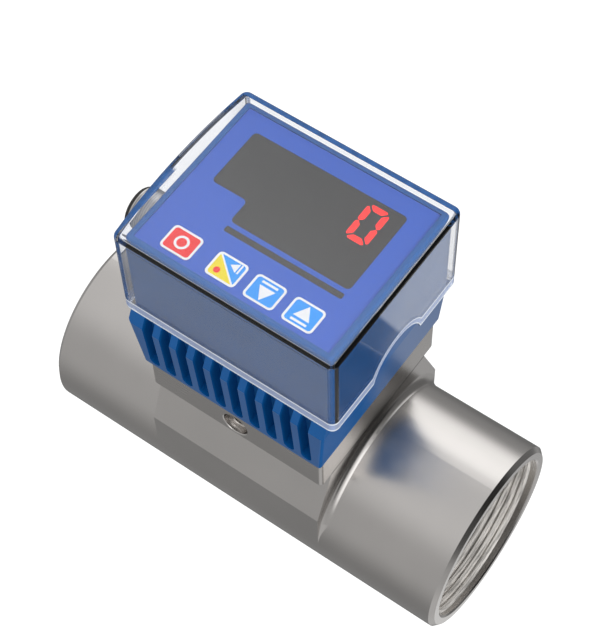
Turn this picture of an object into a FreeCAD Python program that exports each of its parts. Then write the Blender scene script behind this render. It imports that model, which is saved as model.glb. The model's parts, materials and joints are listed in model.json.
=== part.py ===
import FreeCAD, Part
import math
import os

# Paddle wheel flow meter, millimetres. The sizes below are measured from the pipe axis at mid-length:
# +X along the flow, +Y away from the reader of the display, +Z from the pipe up to the display.
# The finished pieces are moved along X so that the origin is the centre of the inlet mouth.

# Pipe body
body_length = 156.0
pipe_radius = 34.3
end_chamfer = 1.5
thread_radius = 29.7
thread_length = 26.0
mouth_chamfer = 0.5
passage_radius = 25.0
passage_cone = 3.0

# Centre block of the pipe body
block_rise = 4.3
block_top_half_y = 26.2
block_slope_drop = 20.2
block_blend = 3.0
blend_root = 0.6
blend_sink = 0.03
blend_last_angle = 86.0
blend_sections = 6

# Sensor port in the block
port_radius = 16.0
port_chamfer = 0.6
seat_ledge = 4.2
seat_depth = 3.5
tap_run_out = 1.0

# Locking collar
collar_half_x = 33.2
collar_half_y = 31.6
collar_height = 14.8
collar_corner = 1.5
collar_edge = 0.35
collar_bore_clearance = 0.3
collar_screw_inset_x = 7.2
collar_screw_inset_y = 11.6
collar_screw_radius = 2.5
collar_screw_length = 18.0
collar_screw_head_radius = 4.25
collar_screw_head_height = 5.0
collar_screw_socket = 4.0
collar_screw_edge = 0.5
screw_hole_clearance = 0.15
screw_head_clearance = 0.4

# Set screw in the collar's front face
set_screw_radius = 4.6
set_screw_drop = 9.1
set_screw_recess = 2.1
set_screw_socket = 4.0
set_screw_mouth = 0.3
set_screw_edge = 1.2
set_screw_tip = 1.5

# Sensor stem
plug_clearance = 0.1
plug_foot_drop = 0.4
flange_clearance = 0.2
stem_shoulder = 2.0
stem_thread_radius = 12.0
stem_thread_length = 12.6
well_radius = 5.2
well_floor = 2.5
o_ring_width = 2.1
o_ring_clearance = 0.02
groove_width = 2.6
upper_groove_drop = 2.8
lower_groove_drop = 6.6

# Rotor and its fork
rotor_radius = 11.0
rotor_tip_gap = 1.1
rotor_half_width = 4.6
blade_count = 4
blade_sagitta = 2.0
blade_thickness = 3.0
hub_radius = 4.2
bush_radius = 2.7
bush_flange_radius = 3.6
bush_flange = 0.6
bush_length = 4.2
pin_radius = 1.5
running_clearance = 0.05
press_clearance = 0.01
fork_side_gap = 0.4
fork_arm = 4.0
fork_half_width = 6.2
fork_root = 1.0
magnet_radius = 1.0
magnet_length = 6.0
magnet_orbit = 8.6

# Pick-up in the dry well
pick_up_length = 9.0
pick_up_clearance = 0.2
pick_up_edge = 0.8
lead_radius = 1.5
lead_plug_length = 4.5
lead_plug_half_x = 3.6
lead_plug_half_y = 2.6
plug_corner = 0.5

# Housing
base_lean = 1.55
base_overhang = 0.7
base_back_inset = 0.65
base_edge = 1.0
base_corner = 1.2
flare_height = 23.5
flare_run = 2.1
shelf_rise = 4.3
shelf_inset = 0.05
case_half_x = 36.3
case_half_y = 29.9
case_corner = 1.4
case_wall = 2.2
case_height = 58.6
floor_thickness = 3.5
floor_hole_clearance = 0.3
post_root = 0.5
pilot_run_out = 1.0

# Fin slots in the front of the housing
slot_count = 10
slot_pitch = 6.45
slot_width = 3.9
slot_depth = 3.2
slot_foot = 2.4

# Stem nut and gasket on the housing floor
stem_gasket_lap = 6.0
stem_gasket_thickness = 0.8
stem_nut_wall = 4.0
stem_nut_height = 6.0
stem_nut_edge = 1.2

# Bezel, overlay and windows
case_gasket_thickness = 0.6
case_gasket_inset = 0.2
bezel_height = 4.0
bezel_plate = 2.0
bezel_edge = 0.7
recess_margin_x = 1.9
recess_margin_y = 1.6
recess_corner = 0.3
recess_depth = 0.8
overlay_thickness = 0.4
overlay_clearance = 0.15
window_left = -27.7
window_right = 27.2
window_back = 22.0
window_front = -8.2
window_step_x = -14.7
window_step_y = 0.3
window_corner = 1.5
window_clearance = 0.08
alarm_left = -14.4
alarm_right = 27.0
alarm_back = -9.8
alarm_front = -11.9
alarm_corner = 0.5
bezel_screw_inset_x = 5.3
bezel_screw_inset_y = 5.1
bezel_screw_radius = 1.4
bezel_screw_length = 11.0
bezel_screw_head = 2.6
bezel_screw_sink = 0.1
bezel_boss_radius = 3.4
bezel_boss_length = 33.0

# Keys
key_width = 10.3
key_depth = 8.6
key_corner = 1.4
key_gap = 0.15
key_y = -22.1
key_pitch = 13.4
up_key_x = 21.4
set_key_x = -21.5
key_flange = 0.8
key_flange_lap = 0.8
key_flange_gap = 0.1
key_plunger_radius = 1.5
key_plunger_length = 0.6
key_travel = 0.5
key_stop_gap = 0.05

# Display board and what stands on it
board_thickness = 1.6
display_post_length = 8.2
display_post_radius = 2.6
display_post_inset = 2.7
display_post_y = 12.0
display_board_gap_x = 1.1
display_board_gap_y = 0.9
boss_notch_clearance = 0.6
module_width = 50.3
module_depth = 19.0
module_x = -0.6
module_y = 13.2
module_gap = 0.2
module_edge = 0.5
switch_half = 3.0
switch_height = 3.5
switch_corner = 0.6
switch_actuator_radius = 1.7
lamp_inset = 0.6

# Small board screws
board_screw_radius = 1.2
board_screw_length = 7.0
board_screw_head_radius = 2.4
board_screw_head_height = 1.5
board_screw_edge = 0.7

# Cross recess of the small screws
cross_width = 0.6
cross_reach = 1.5
cross_depth = 0.8

# Power board in the base
power_board_gap_x = 1.2
power_board_gap_y = 3.8
power_board_corner = 2.0
power_post_height = 11.0
power_post_radius = 3.0
power_post_inset_x = 2.0
power_post_inset_y = 3.5
terminal_poles = 5
terminal_pitch = 5.0
terminal_depth = 9.0
terminal_height = 10.0
terminal_x = -14.0
terminal_shoulder = 6.5
terminal_bevel = 2.0
wire_mouth = 3.0
wire_mouth_rise = 1.5
wire_mouth_depth = 4.0
clamp_screw_radius = 1.6
clamp_screw_depth = 1.5
clamp_screw_shift = 1.0
ribbon_width = 15.0
ribbon_thickness = 0.9
ribbon_bow = 3.0
ribbon_y = 19.0
ribbon_root = 0.5
ribbon_plug_width = 19.0
ribbon_plug_depth = 5.0
ribbon_plug_height = 5.0

# Clear cover
cover_gap = 1.15
cover_wall = 1.6
cover_headroom = 1.1
cover_corner = 2.6
cover_edge = 2.4
cover_bulge = 2.0
cover_rest_gap = 0.15
notch_clearance = 3.2

# Cable gland in the left wall
gland_drop = 3.2
gland_shoulder = 1.85
gland_boss_rim = 1.75
gland_boss_out = 0.9
gland_inner_boss_rim = 5.5
gland_inner_boss_stand = 0.2
gland_washer_thickness = 1.0
gland_thread_radius = 6.0
gland_collar_length = 8.3
gland_spigot_step = 0.2
gland_spigot_length = 8.5
gland_wall = 1.4
gland_nut_length = 11.6
gland_flat_cut = 0.75
gland_seal_step = 1.0
gland_fit = 0.1
gland_nut_gap = 0.3
gland_lip_inset = 0.35
gland_lip = 1.1
gland_lip_edge = 0.5
gland_edge = 0.4
gland_thread_in = 4.0
locknut_wall = 3.5
locknut_length = 3.6
cable_radius = 3.25

# Levels worked out from the sizes above
block_top_z = pipe_radius + block_rise
seat_z = block_top_z - seat_depth
head_z = block_top_z + collar_height
floor_z = head_z + floor_thickness
flare_z = head_z + flare_height
shelf_z = flare_z + shelf_rise
wall_top_z = head_z + case_height
bezel_z = wall_top_z + case_gasket_thickness
bezel_top_z = bezel_z + bezel_height
recess_z = bezel_top_z - recess_depth
face_z = recess_z + overlay_thickness
plate_z = recess_z - bezel_plate
display_board_z = plate_z - display_post_length
power_board_z = floor_z + power_post_height
cover_inner_z = bezel_top_z + cover_headroom
cover_top_z = cover_inner_z + cover_wall
cover_rim_z = shelf_z + cover_rest_gap
gland_z = shelf_z - gland_drop

# The plug ends flush with the top of the passage, and the rotor hangs in the stream below it
plug_radius = port_radius - plug_clearance
seat_radius = port_radius + seat_ledge
plug_foot_z = passage_radius - plug_foot_drop
rotor_z = plug_foot_z - rotor_radius - rotor_tip_gap
well_z = plug_foot_z + well_floor
fork_inner = rotor_half_width + bush_flange + fork_side_gap
fork_outer = fork_inner + fork_arm

# The block is as wide as the collar, and the foot of the housing hangs over both
block_half_x = collar_half_x
base_half_x = collar_half_x + base_overhang
collar_screw_x = collar_half_x - collar_screw_inset_x
collar_screw_y = collar_half_y - collar_screw_inset_y
stem_neck_radius = stem_thread_radius + stem_shoulder
stem_gasket_radius = stem_thread_radius + stem_gasket_lap
stem_nut_flats = 2 * (stem_thread_radius + stem_nut_wall)

# Places across the head, where the shelf carries the front and back of the cover
cover_half_x = case_half_x + cover_gap + cover_wall
cover_half_y = case_half_y + cover_gap + cover_wall
shelf_front_y = cover_half_y - shelf_inset
flare_y = shelf_front_y + flare_run
base_half_y = flare_y - base_lean
base_back_y = cover_half_y - base_back_inset
cavity_half_x = case_half_x - case_wall
cavity_half_y = case_half_y - case_wall
cavity_foot_x = base_half_x - case_wall
recess_half_x = case_half_x - recess_margin_x
recess_half_y = case_half_y - recess_margin_y
bezel_screw_x = case_half_x - bezel_screw_inset_x
bezel_screw_y = case_half_y - bezel_screw_inset_y
display_board_half_x = cavity_half_x - display_board_gap_x
display_board_half_y = cavity_half_y - display_board_gap_y
display_post_x = display_board_half_x - display_post_inset
collar_bore = stem_neck_radius + collar_bore_clearance
collar_head_bore = collar_screw_head_radius + screw_head_clearance
collar_head_z = head_z - collar_screw_head_height - screw_head_clearance
set_screw_z = head_z - set_screw_drop

# The gland grows with its thread, its inner boss stands clear of the leaning wall,
# and the power board stays clear of its locknut
gland_radius = gland_thread_radius + gland_shoulder
gland_boss_radius = gland_radius + gland_boss_rim
notch_radius = gland_boss_radius + notch_clearance
gland_inner_boss_radius = gland_thread_radius + gland_inner_boss_rim
gland_spigot_radius = gland_thread_radius + gland_spigot_step
gland_bore_radius = gland_thread_radius - gland_wall
gland_nut_bore = gland_bore_radius + gland_seal_step
gland_lip_radius = gland_radius - gland_lip_inset
boss_level = (gland_z - gland_inner_boss_radius - floor_z) / (flare_z - floor_z)
boss_wall_x = cavity_foot_x + boss_level * (cavity_half_x - cavity_foot_x)
gland_inner_boss_x = boss_wall_x - gland_inner_boss_stand
locknut_flats = 2 * (gland_thread_radius + locknut_wall)
power_board_half_x = gland_inner_boss_x - locknut_length - power_board_gap_x
power_board_half_y = cavity_half_y - power_board_gap_y
power_post_x = power_board_half_x - power_post_inset_x
power_post_y = power_board_half_y - power_post_inset_y
gland_face_x = -case_half_x - gland_boss_out
gland_seat = gland_washer_thickness
gland_collar_end = gland_seat + gland_collar_length
gland_spigot_end = gland_collar_end + gland_spigot_length
gland_nut_start = gland_collar_end + gland_nut_gap
gland_nut_end = gland_nut_start + gland_nut_length
gland_thread_end = gland_face_x + gland_inner_boss_x - locknut_length - gland_thread_in
key_places = {
    "set_key": set_key_x,
    "shift_key": up_key_x - 2 * key_pitch,
    "down_key": up_key_x - key_pitch,
    "up_key": up_key_x,
}


def V(x, y, z):
    return FreeCAD.Vector(x, y, z)


def block(x0, x1, y0, y1, z0, z1):
    return Part.makeBox(x1 - x0, y1 - y0, z1 - z0, V(x0, y0, z0))


def rod(radius, start, end):
    along = end - start
    return Part.makeCylinder(radius, along.Length, start, along)


def cone(radius_start, radius_end, start, end):
    along = end - start
    return Part.makeCone(radius_start, radius_end, along.Length, start, along)


def tube(outer, inner, start, end):
    return rod(outer, start, end).cut(rod(inner, start, end))


def prism_along_x(profile, half_x):
    """Solid with a closed (y, z) profile, centred on x = 0."""
    corners = [V(-half_x, y, z) for y, z in profile]
    face = Part.Face(Part.makePolygon(corners + corners[:1]))
    return face.extrude(V(2 * half_x, 0, 0))


def prism_along_y(profile, half_y):
    """Solid with a closed (x, z) profile, centred on y = 0."""
    corners = [V(x, -half_y, z) for x, z in profile]
    face = Part.Face(Part.makePolygon(corners + corners[:1]))
    return face.extrude(V(0, 2 * half_y, 0))


def turned(profile):
    """Solid of revolution about Z from a closed (radius, z) profile."""
    corners = [V(radius, 0, z) for radius, z in profile]
    face = Part.Face(Part.makePolygon(corners + corners[:1]))
    return face.revolve(V(0, 0, 0), V(0, 0, 1), 360)


def hexagon(flats, z0, z1):
    corner = flats / math.sqrt(3)
    corners = [V(corner * math.cos(math.radians(a)), corner * math.sin(math.radians(a)), z0)
               for a in range(0, 360, 60)]
    face = Part.Face(Part.makePolygon(corners + corners[:1]))
    return face.extrude(V(0, 0, z1 - z0))


def upright_edges(shape):
    """Edges of a shape that stand along Z."""
    found = []
    for edge in shape.Edges:
        ends = [vertex.Point for vertex in edge.Vertexes]
        if len(ends) == 2 and math.hypot(ends[0].x - ends[1].x, ends[0].y - ends[1].y) < 1e-6:
            found.append(edge)
    return found


def edges_at(shape, z):
    """Edges of a shape that lie in the plane at height z."""
    return [edge for edge in shape.Edges if all(abs(v.Point.z - z) < 1e-6 for v in edge.Vertexes)]


def slab(half_x, half_y, corner, z0, z1, x=0.0, y=0.0):
    """Flat plate with rounded upright corners."""
    plate = block(x - half_x, x + half_x, y - half_y, y + half_y, z0, z1)
    return plate.makeFillet(corner, upright_edges(plate))


def tongue(half_width, round_z, top_z, y0, y1, x=0.0):
    """Upright tongue with a full round foot, square to Y."""
    left_top = V(x - half_width, y0, top_z)
    right_top = V(x + half_width, y0, top_z)
    right = V(x + half_width, y0, round_z)
    left = V(x - half_width, y0, round_z)
    foot = V(x, y0, round_z - half_width)
    wire = Part.Wire([
        Part.LineSegment(left_top, right_top).toShape(),
        Part.LineSegment(right_top, right).toShape(),
        Part.Arc(right, foot, left).toShape(),
        Part.LineSegment(left, left_top).toShape(),
    ])
    return Part.Face(wire).extrude(V(0, y1 - y0, 0))


def copies(shape, places):
    return [shape.translated(place) for place in places]


def four_corners(x, y, z=0.0):
    return [V(sx * x, sy * y, z) for sx in (-1, 1) for sy in (-1, 1)]


def cross_recess(z):
    """Cross-shaped driver recess that opens at height z."""
    half = cross_width / 2
    bar_x = block(-cross_reach, cross_reach, -half, half, z - cross_depth, z)
    bar_y = block(-half, half, -cross_reach, cross_reach, z - cross_depth, z)
    return bar_x.fuse(bar_y)


def block_profile():
    """Cross-section of the centre block: upright sides that leave the pipe, then a slope to the top."""
    slope_z = block_top_z - block_slope_drop
    return [
        (-pipe_radius, 0),
        (-pipe_radius, slope_z),
        (-block_top_half_y, block_top_z),
        (block_top_half_y, block_top_z),
        (pipe_radius, slope_z),
        (pipe_radius, 0),
    ]


def blend_section(angle, size):
    """Hollow fillet at the block's end, cut by the plane through the pipe axis at an angle from the top."""
    outward = V(0, math.sin(angle), math.cos(angle))

    def at(x, radius):
        return V(block_half_x + x, 0, 0) + outward * (pipe_radius + radius)

    bend = size * (1 - math.sin(math.pi / 4))
    deep = -blend_root
    foot = at(size, -blend_sink)
    crown = at(0, size)
    corners = [crown, at(deep, size), at(deep, deep), at(size, deep), foot]
    edges = [Part.LineSegment(a, b).toShape() for a, b in zip(corners, corners[1:])]
    edges.append(Part.Arc(foot, at(bend, bend), crown).toShape())
    return Part.Wire(edges)


def block_blends():
    """Fillets where the end faces run into the pipe, shrinking to nothing beside the upright sides."""
    full = math.asin(pipe_radius / (pipe_radius + block_blend))
    last = math.radians(blend_last_angle)
    angles = [full + (last - full) * step / (blend_sections - 1) for step in range(blend_sections)]
    sections = [blend_section(angle, pipe_radius / math.sin(angle) - pipe_radius) for angle in angles]
    over = Part.Face(sections[0]).revolve(V(0, 0, 0), V(1, 0, 0), math.degrees(2 * full))
    flank = Part.makeLoft(sections, True)
    right = [over, flank, flank.mirror(V(0, 0, 0), V(0, 1, 0))]
    return right + [blend.mirror(V(0, 0, 0), V(1, 0, 0)) for blend in right]


def make_flow_body():
    half = body_length / 2
    pipe = rod(pipe_radius, V(-half, 0, 0), V(half, 0, 0))
    rims = [edge for edge in pipe.Edges if abs(abs(edge.CenterOfMass.x) - half) < 1e-6]
    pipe = pipe.makeChamfer(end_chamfer, rims)
    body = pipe.fuse([prism_along_x(block_profile(), block_half_x)] + block_blends())
    cuts = [rod(passage_radius, V(-half, 0, 0), V(half, 0, 0))]
    for side in (-1, 1):
        mouth = side * half
        thread_end = side * (half - thread_length)
        cone_end = side * (half - thread_length - passage_cone)
        lip_end = side * (half - mouth_chamfer)
        cuts.append(rod(thread_radius, V(mouth, 0, 0), V(thread_end, 0, 0)))
        cuts.append(cone(thread_radius, passage_radius, V(thread_end, 0, 0), V(cone_end, 0, 0)))
        cuts.append(cone(thread_radius + mouth_chamfer, thread_radius, V(mouth, 0, 0), V(lip_end, 0, 0)))
    cuts.append(rod(port_radius, V(0, 0, 0), V(0, 0, block_top_z)))
    cuts.append(rod(seat_radius, V(0, 0, seat_z), V(0, 0, block_top_z)))
    lead_in = V(0, 0, seat_z - port_chamfer)
    cuts.append(cone(port_radius, port_radius + port_chamfer, lead_in, V(0, 0, seat_z)))
    tapped_z = collar_head_z - collar_screw_length - tap_run_out
    tapped = rod(collar_screw_radius + press_clearance, V(0, 0, tapped_z), V(0, 0, block_top_z))
    cuts.extend(copies(tapped, four_corners(collar_screw_x, collar_screw_y)))
    return body.cut(cuts).removeSplitter()


def make_lock_collar():
    collar = slab(collar_half_x, collar_half_y, collar_corner, block_top_z, head_z)
    collar = collar.makeChamfer(collar_edge, edges_at(collar, block_top_z))
    hole = rod(collar_screw_radius + screw_hole_clearance, V(0, 0, block_top_z), V(0, 0, head_z))
    hole = hole.fuse(rod(collar_head_bore, V(0, 0, collar_head_z), V(0, 0, head_z)))
    cuts = copies(hole, four_corners(collar_screw_x, collar_screw_y))
    cuts.append(rod(collar_bore, V(0, 0, block_top_z), V(0, 0, head_z)))
    bore_radius = set_screw_radius + press_clearance
    mouth = V(0, -collar_half_y, set_screw_z)
    mouth_end = V(0, -collar_half_y + set_screw_mouth, set_screw_z)
    cuts.append(rod(bore_radius, mouth, V(0, 0, set_screw_z)))
    cuts.append(cone(bore_radius + set_screw_mouth, bore_radius, mouth, mouth_end))
    return collar.cut(cuts)


def make_set_screw():
    tip_y = -stem_neck_radius - running_clearance
    tip = V(0, tip_y, set_screw_z)
    shoulder = V(0, tip_y - set_screw_tip, set_screw_z)
    head = V(0, set_screw_recess - collar_half_y, set_screw_z)
    point = cone(set_screw_radius, set_screw_radius - set_screw_tip, shoulder, tip)
    screw = rod(set_screw_radius, head, shoulder)
    face = [edge for edge in screw.Edges if abs(edge.CenterOfMass.y - head.y) < 1e-6]
    screw = screw.makeChamfer(set_screw_edge, face).fuse(point)
    socket = hexagon(set_screw_socket, 0, set_screw_socket)
    socket.rotate(V(0, 0, 0), V(1, 0, 0), -90)
    return screw.cut(socket.translated(head))


def make_collar_screws():
    head = rod(collar_screw_head_radius, V(0, 0, 0), V(0, 0, collar_screw_head_height))
    head = head.makeChamfer(collar_screw_edge, edges_at(head, collar_screw_head_height))
    shank = rod(collar_screw_radius, V(0, 0, -collar_screw_length), V(0, 0, 0))
    depth = collar_screw_head_height - collar_screw_socket / 2
    socket = hexagon(collar_screw_socket, depth, collar_screw_head_height)
    screw = head.fuse(shank).cut(socket)
    return Part.makeCompound(copies(screw, four_corners(collar_screw_x, collar_screw_y, collar_head_z)))


def o_ring_groove(drop):
    """Ring-shaped groove in the plug, its middle a given drop below the flange seat."""
    z = seat_z - drop
    depth_radius = port_radius - o_ring_width
    return tube(port_radius, depth_radius, V(0, 0, z - groove_width / 2), V(0, 0, z + groove_width / 2))


def make_o_ring(drop):
    """Seal squeezed in its groove, which gives its section flats on all sides."""
    reach = o_ring_width / 2 - o_ring_clearance
    corner = reach / math.cos(math.pi / 8)
    turns = [math.pi / 8 + math.pi / 4 * index for index in range(8)]
    middle = port_radius - o_ring_width / 2
    return turned([(middle + corner * math.cos(a), seat_z - drop + corner * math.sin(a)) for a in turns])


def make_sensor_stem():
    flange_top = block_top_z - flange_clearance / 2
    top = head_z + stem_thread_length
    stem = turned([
        (0, plug_foot_z),
        (plug_radius, plug_foot_z),
        (plug_radius, seat_z),
        (seat_radius - flange_clearance, seat_z),
        (seat_radius - flange_clearance, flange_top),
        (stem_neck_radius, flange_top),
        (stem_neck_radius, head_z),
        (stem_thread_radius, head_z),
        (stem_thread_radius, top),
        (0, top),
    ])
    arm = tongue(fork_half_width, rotor_z, plug_foot_z + fork_root, fork_inner, fork_outer)
    stem = stem.fuse([arm, arm.mirror(V(0, 0, 0), V(0, 1, 0))])
    pin_hole = rod(pin_radius + press_clearance, V(0, -fork_outer, rotor_z), V(0, fork_outer, rotor_z))
    well = rod(well_radius, V(0, 0, well_z), V(0, 0, top))
    return stem.cut([o_ring_groove(upper_groove_drop), o_ring_groove(lower_groove_drop), pin_hole, well])


def make_rotor_pin():
    return rod(pin_radius, V(0, -fork_outer, rotor_z), V(0, fork_outer, rotor_z))


def rotor_blade():
    """Scooped blade: a stretch of ring whose arc runs from the axis to the tip."""
    chord = rotor_radius
    bend = (chord ** 2 / 4 + blade_sagitta ** 2) / (2 * blade_sagitta)
    middle = V(chord / 2, 0, blade_sagitta - bend)
    ends = V(0, -rotor_half_width, 0), V(0, rotor_half_width, 0)
    ring = tube(bend + blade_thickness / 2, bend - blade_thickness / 2, middle + ends[0], middle + ends[1])
    keep = block(0, rotor_radius, -rotor_half_width, rotor_half_width, -blade_thickness / 4, rotor_radius)
    return ring.common(keep).common(rod(rotor_radius, *ends))


def magnet_place(turn):
    """Middle of a magnet inside the blade at a given turn."""
    bend = (rotor_radius ** 2 / 4 + blade_sagitta ** 2) / (2 * blade_sagitta)
    rise = math.sqrt(bend ** 2 - (magnet_orbit - rotor_radius / 2) ** 2) + blade_sagitta - bend
    angle = math.radians(turn)
    x = magnet_orbit * math.cos(angle) + rise * math.sin(angle)
    z = rise * math.cos(angle) - magnet_orbit * math.sin(angle)
    return V(x, 0, rotor_z + z)


def make_paddle_wheel():
    middle = V(0, 0, rotor_z)
    across = V(0, rotor_half_width, 0)
    wheel = rod(hub_radius, middle - across, middle + across)
    blade = rotor_blade()
    blades = []
    cuts = [rod(bush_radius + press_clearance, middle - across, middle + across)]
    for index in range(blade_count):
        turn = 360 / blade_count * index
        turned_blade = blade.copy()
        turned_blade.rotate(V(0, 0, 0), V(0, 1, 0), turn)
        blades.append(turned_blade.translated(middle))
        place = magnet_place(turn)
        pocket_end = V(0, rotor_half_width - magnet_length, 0)
        cuts.append(rod(magnet_radius + press_clearance, place + pocket_end, place + across))
    return wheel.fuse(blades).cut(cuts).removeSplitter()


def make_rotor_magnets():
    magnets = []
    for index in range(blade_count):
        place = magnet_place(360 / blade_count * index)
        start = place + V(0, rotor_half_width - magnet_length, 0)
        magnets.append(rod(magnet_radius, start, place + V(0, rotor_half_width, 0)))
    return Part.makeCompound(magnets)


def make_rotor_bushes():
    bore = pin_radius + running_clearance
    end_y = rotor_half_width + bush_flange
    seat = V(0, rotor_half_width, rotor_z)
    sleeve = rod(bush_radius, V(0, rotor_half_width - bush_length, rotor_z), seat)
    flange = rod(bush_flange_radius, seat, V(0, end_y, rotor_z))
    bush = sleeve.fuse(flange).cut(rod(bore, V(0, 0, rotor_z), V(0, end_y, rotor_z)))
    return Part.makeCompound([bush, bush.mirror(V(0, 0, 0), V(0, 1, 0))])


def make_hall_sensor():
    """Potted pick-up with a slim nose that stands on the floor of the well."""
    radius = well_radius - pick_up_clearance
    foot = well_z + running_clearance
    can = rod(radius, V(0, 0, foot), V(0, 0, foot + pick_up_length))
    return can.makeChamfer(pick_up_edge, edges_at(can, foot + pick_up_length))


def make_sensor_lead():
    start = well_z + running_clearance + pick_up_length
    top = power_board_z - running_clearance
    lead = rod(lead_radius, V(0, 0, start), V(0, 0, top))
    plug = slab(lead_plug_half_x, lead_plug_half_y, plug_corner, top - lead_plug_length, top)
    return lead.fuse(plug)


def housing_shell():
    """Finned base and case walls as one moulding, before the slots and holes."""
    front_back = [
        (-base_half_y, head_z),
        (-flare_y, flare_z),
        (-shelf_front_y, shelf_z),
        (base_back_y, shelf_z),
        (base_half_y, head_z),
    ]
    sides = [
        (-base_half_x, head_z),
        (-case_half_x, flare_z),
        (-case_half_x, shelf_z),
        (case_half_x, shelf_z),
        (case_half_x, flare_z),
        (base_half_x, head_z),
    ]
    reach = 2 * max(case_half_x, flare_y)
    base = prism_along_x(front_back, reach).common(prism_along_y(sides, reach))
    base = base.makeChamfer(base_edge, edges_at(base, head_z))
    corners = []
    for edge in base.Edges:
        low, high = sorted(vertex.Point.z for vertex in edge.Vertexes)
        if low < head_z + 2 * base_edge and high > flare_z - base_edge:
            corners.append(edge)
    base = base.makeFillet(base_corner, corners)
    walls = slab(case_half_x, case_half_y, case_corner, flare_z, wall_top_z)
    cavity_sides = [
        (-cavity_foot_x, floor_z),
        (-cavity_half_x, flare_z),
        (-cavity_half_x, wall_top_z),
        (cavity_half_x, wall_top_z),
        (cavity_half_x, flare_z),
        (cavity_foot_x, floor_z),
    ]
    return base.fuse(walls).cut(prism_along_y(cavity_sides, cavity_half_y))


def fin_slot(x):
    """One slot: a round-footed channel whose floor follows both facets of the flare at an even depth."""
    lean = (flare_y - base_half_y) / flare_height
    lower_shift = slot_depth * math.hypot(1, lean)
    upper_run = flare_y - shelf_front_y
    upper_slope = shelf_rise / upper_run
    upper_drop = slot_depth * math.hypot(1, upper_slope)
    above = shelf_z + slot_depth
    outside = flare_y + slot_depth
    foot_z = head_z + slot_foot
    # The two floor lines meet where both offsets hold
    rise = upper_drop + upper_slope * flare_y
    knee_y = (flare_y - lower_shift - lean * rise) / (1 - lean * upper_slope)
    knee_z = flare_z - upper_drop + upper_slope * (flare_y - knee_y)
    wall_y = case_half_y
    wall_z = knee_z + upper_slope * (knee_y - wall_y)
    foot_y = knee_y - lean * (knee_z - foot_z)
    section = [
        (-outside, foot_z),
        (-outside, above),
        (-wall_y, above),
        (-wall_y, wall_z),
        (-knee_y, knee_z),
        (-foot_y, foot_z),
    ]
    channel = tongue(slot_width / 2, foot_z + slot_width / 2, above, -outside, -wall_y + slot_depth, x)
    return channel.common(prism_along_x(section, 2 * case_half_x))


def make_housing():
    shell = housing_shell()
    bosses = []
    boss_foot = wall_top_z - bezel_boss_length
    boss = rod(bezel_boss_radius, V(0, 0, boss_foot), V(0, 0, wall_top_z))
    half_wall = case_wall / 2
    inside = slab(case_half_x - half_wall, case_half_y - half_wall, case_corner, boss_foot, wall_top_z)
    for corner in copies(boss, four_corners(bezel_screw_x, bezel_screw_y)):
        bosses.append(corner.common(inside))
    post = rod(power_post_radius, V(0, 0, floor_z - post_root), V(0, 0, power_board_z))
    bosses.extend(copies(post, four_corners(power_post_x, power_post_y)))
    in_wall = V(-cavity_half_x - case_wall / 4, 0, gland_z)
    bosses.append(rod(gland_boss_radius, V(gland_face_x, 0, gland_z), in_wall))
    bosses.append(rod(gland_inner_boss_radius, in_wall, V(-gland_inner_boss_x, 0, gland_z)))
    housing = shell.fuse(bosses)
    first = -slot_pitch * (slot_count - 1) / 2
    cuts = [fin_slot(first + slot_pitch * index) for index in range(slot_count)]
    cuts.append(rod(stem_thread_radius + floor_hole_clearance, V(0, 0, head_z), V(0, 0, floor_z)))
    gland_hole = gland_thread_radius + gland_fit
    cuts.append(rod(gland_hole, V(gland_face_x, 0, gland_z), V(-gland_inner_boss_x, 0, gland_z)))
    pilot_z = recess_z - bezel_screw_length - pilot_run_out
    pilot = rod(bezel_screw_radius + press_clearance, V(0, 0, pilot_z), V(0, 0, wall_top_z))
    cuts.extend(copies(pilot, four_corners(bezel_screw_x, bezel_screw_y)))
    pilot_z = power_board_z + board_thickness - board_screw_length - pilot_run_out
    pilot = rod(board_screw_radius + press_clearance, V(0, 0, pilot_z), V(0, 0, power_board_z))
    cuts.extend(copies(pilot, four_corners(power_post_x, power_post_y)))
    return housing.cut(cuts).removeSplitter()


def make_stem_gasket():
    bore = stem_thread_radius + floor_hole_clearance
    return tube(stem_gasket_radius, bore, V(0, 0, floor_z), V(0, 0, floor_z + stem_gasket_thickness))


def make_stem_nut():
    foot = floor_z + stem_gasket_thickness
    nut = hexagon(stem_nut_flats, foot, foot + stem_nut_height)
    corner = stem_nut_flats / math.sqrt(3)
    blank = rod(corner, V(0, 0, foot), V(0, 0, foot + stem_nut_height))
    blank = blank.makeChamfer(stem_nut_edge, [e for e in blank.Edges if len(e.Vertexes) == 1])
    bore = rod(stem_thread_radius + press_clearance, V(0, 0, foot), V(0, 0, foot + stem_nut_height))
    return nut.common(blank).cut(bore)


def make_case_gasket():
    top = wall_top_z + case_gasket_thickness
    inset = case_gasket_inset
    seal = slab(case_half_x - inset, case_half_y - inset, case_corner, wall_top_z, top)
    hollow = slab(cavity_half_x, cavity_half_y, case_corner / 2, wall_top_z, top)
    corners = copies(rod(bezel_boss_radius - inset, V(0, 0, wall_top_z), V(0, 0, top)),
                     four_corners(bezel_screw_x, bezel_screw_y))
    seal = seal.cut(hollow).fuse([corner.common(seal) for corner in corners])
    hole = rod(bezel_screw_radius + screw_hole_clearance, V(0, 0, wall_top_z), V(0, 0, top))
    return seal.cut(copies(hole, four_corners(bezel_screw_x, bezel_screw_y)))


def window_plate(z0, z1, shrink=0.0):
    """Display window outline: a rectangle with its near left corner stepped back."""
    right = window_right - shrink
    back = window_back - shrink
    wide = block(window_left + shrink, right, window_step_y + shrink, back, z0, z1)
    deep = block(window_step_x + shrink, right, window_front + shrink, back, z0, z1)
    plate = wide.fuse(deep).removeSplitter()
    return plate.makeFillet(window_corner, upright_edges(plate))


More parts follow.
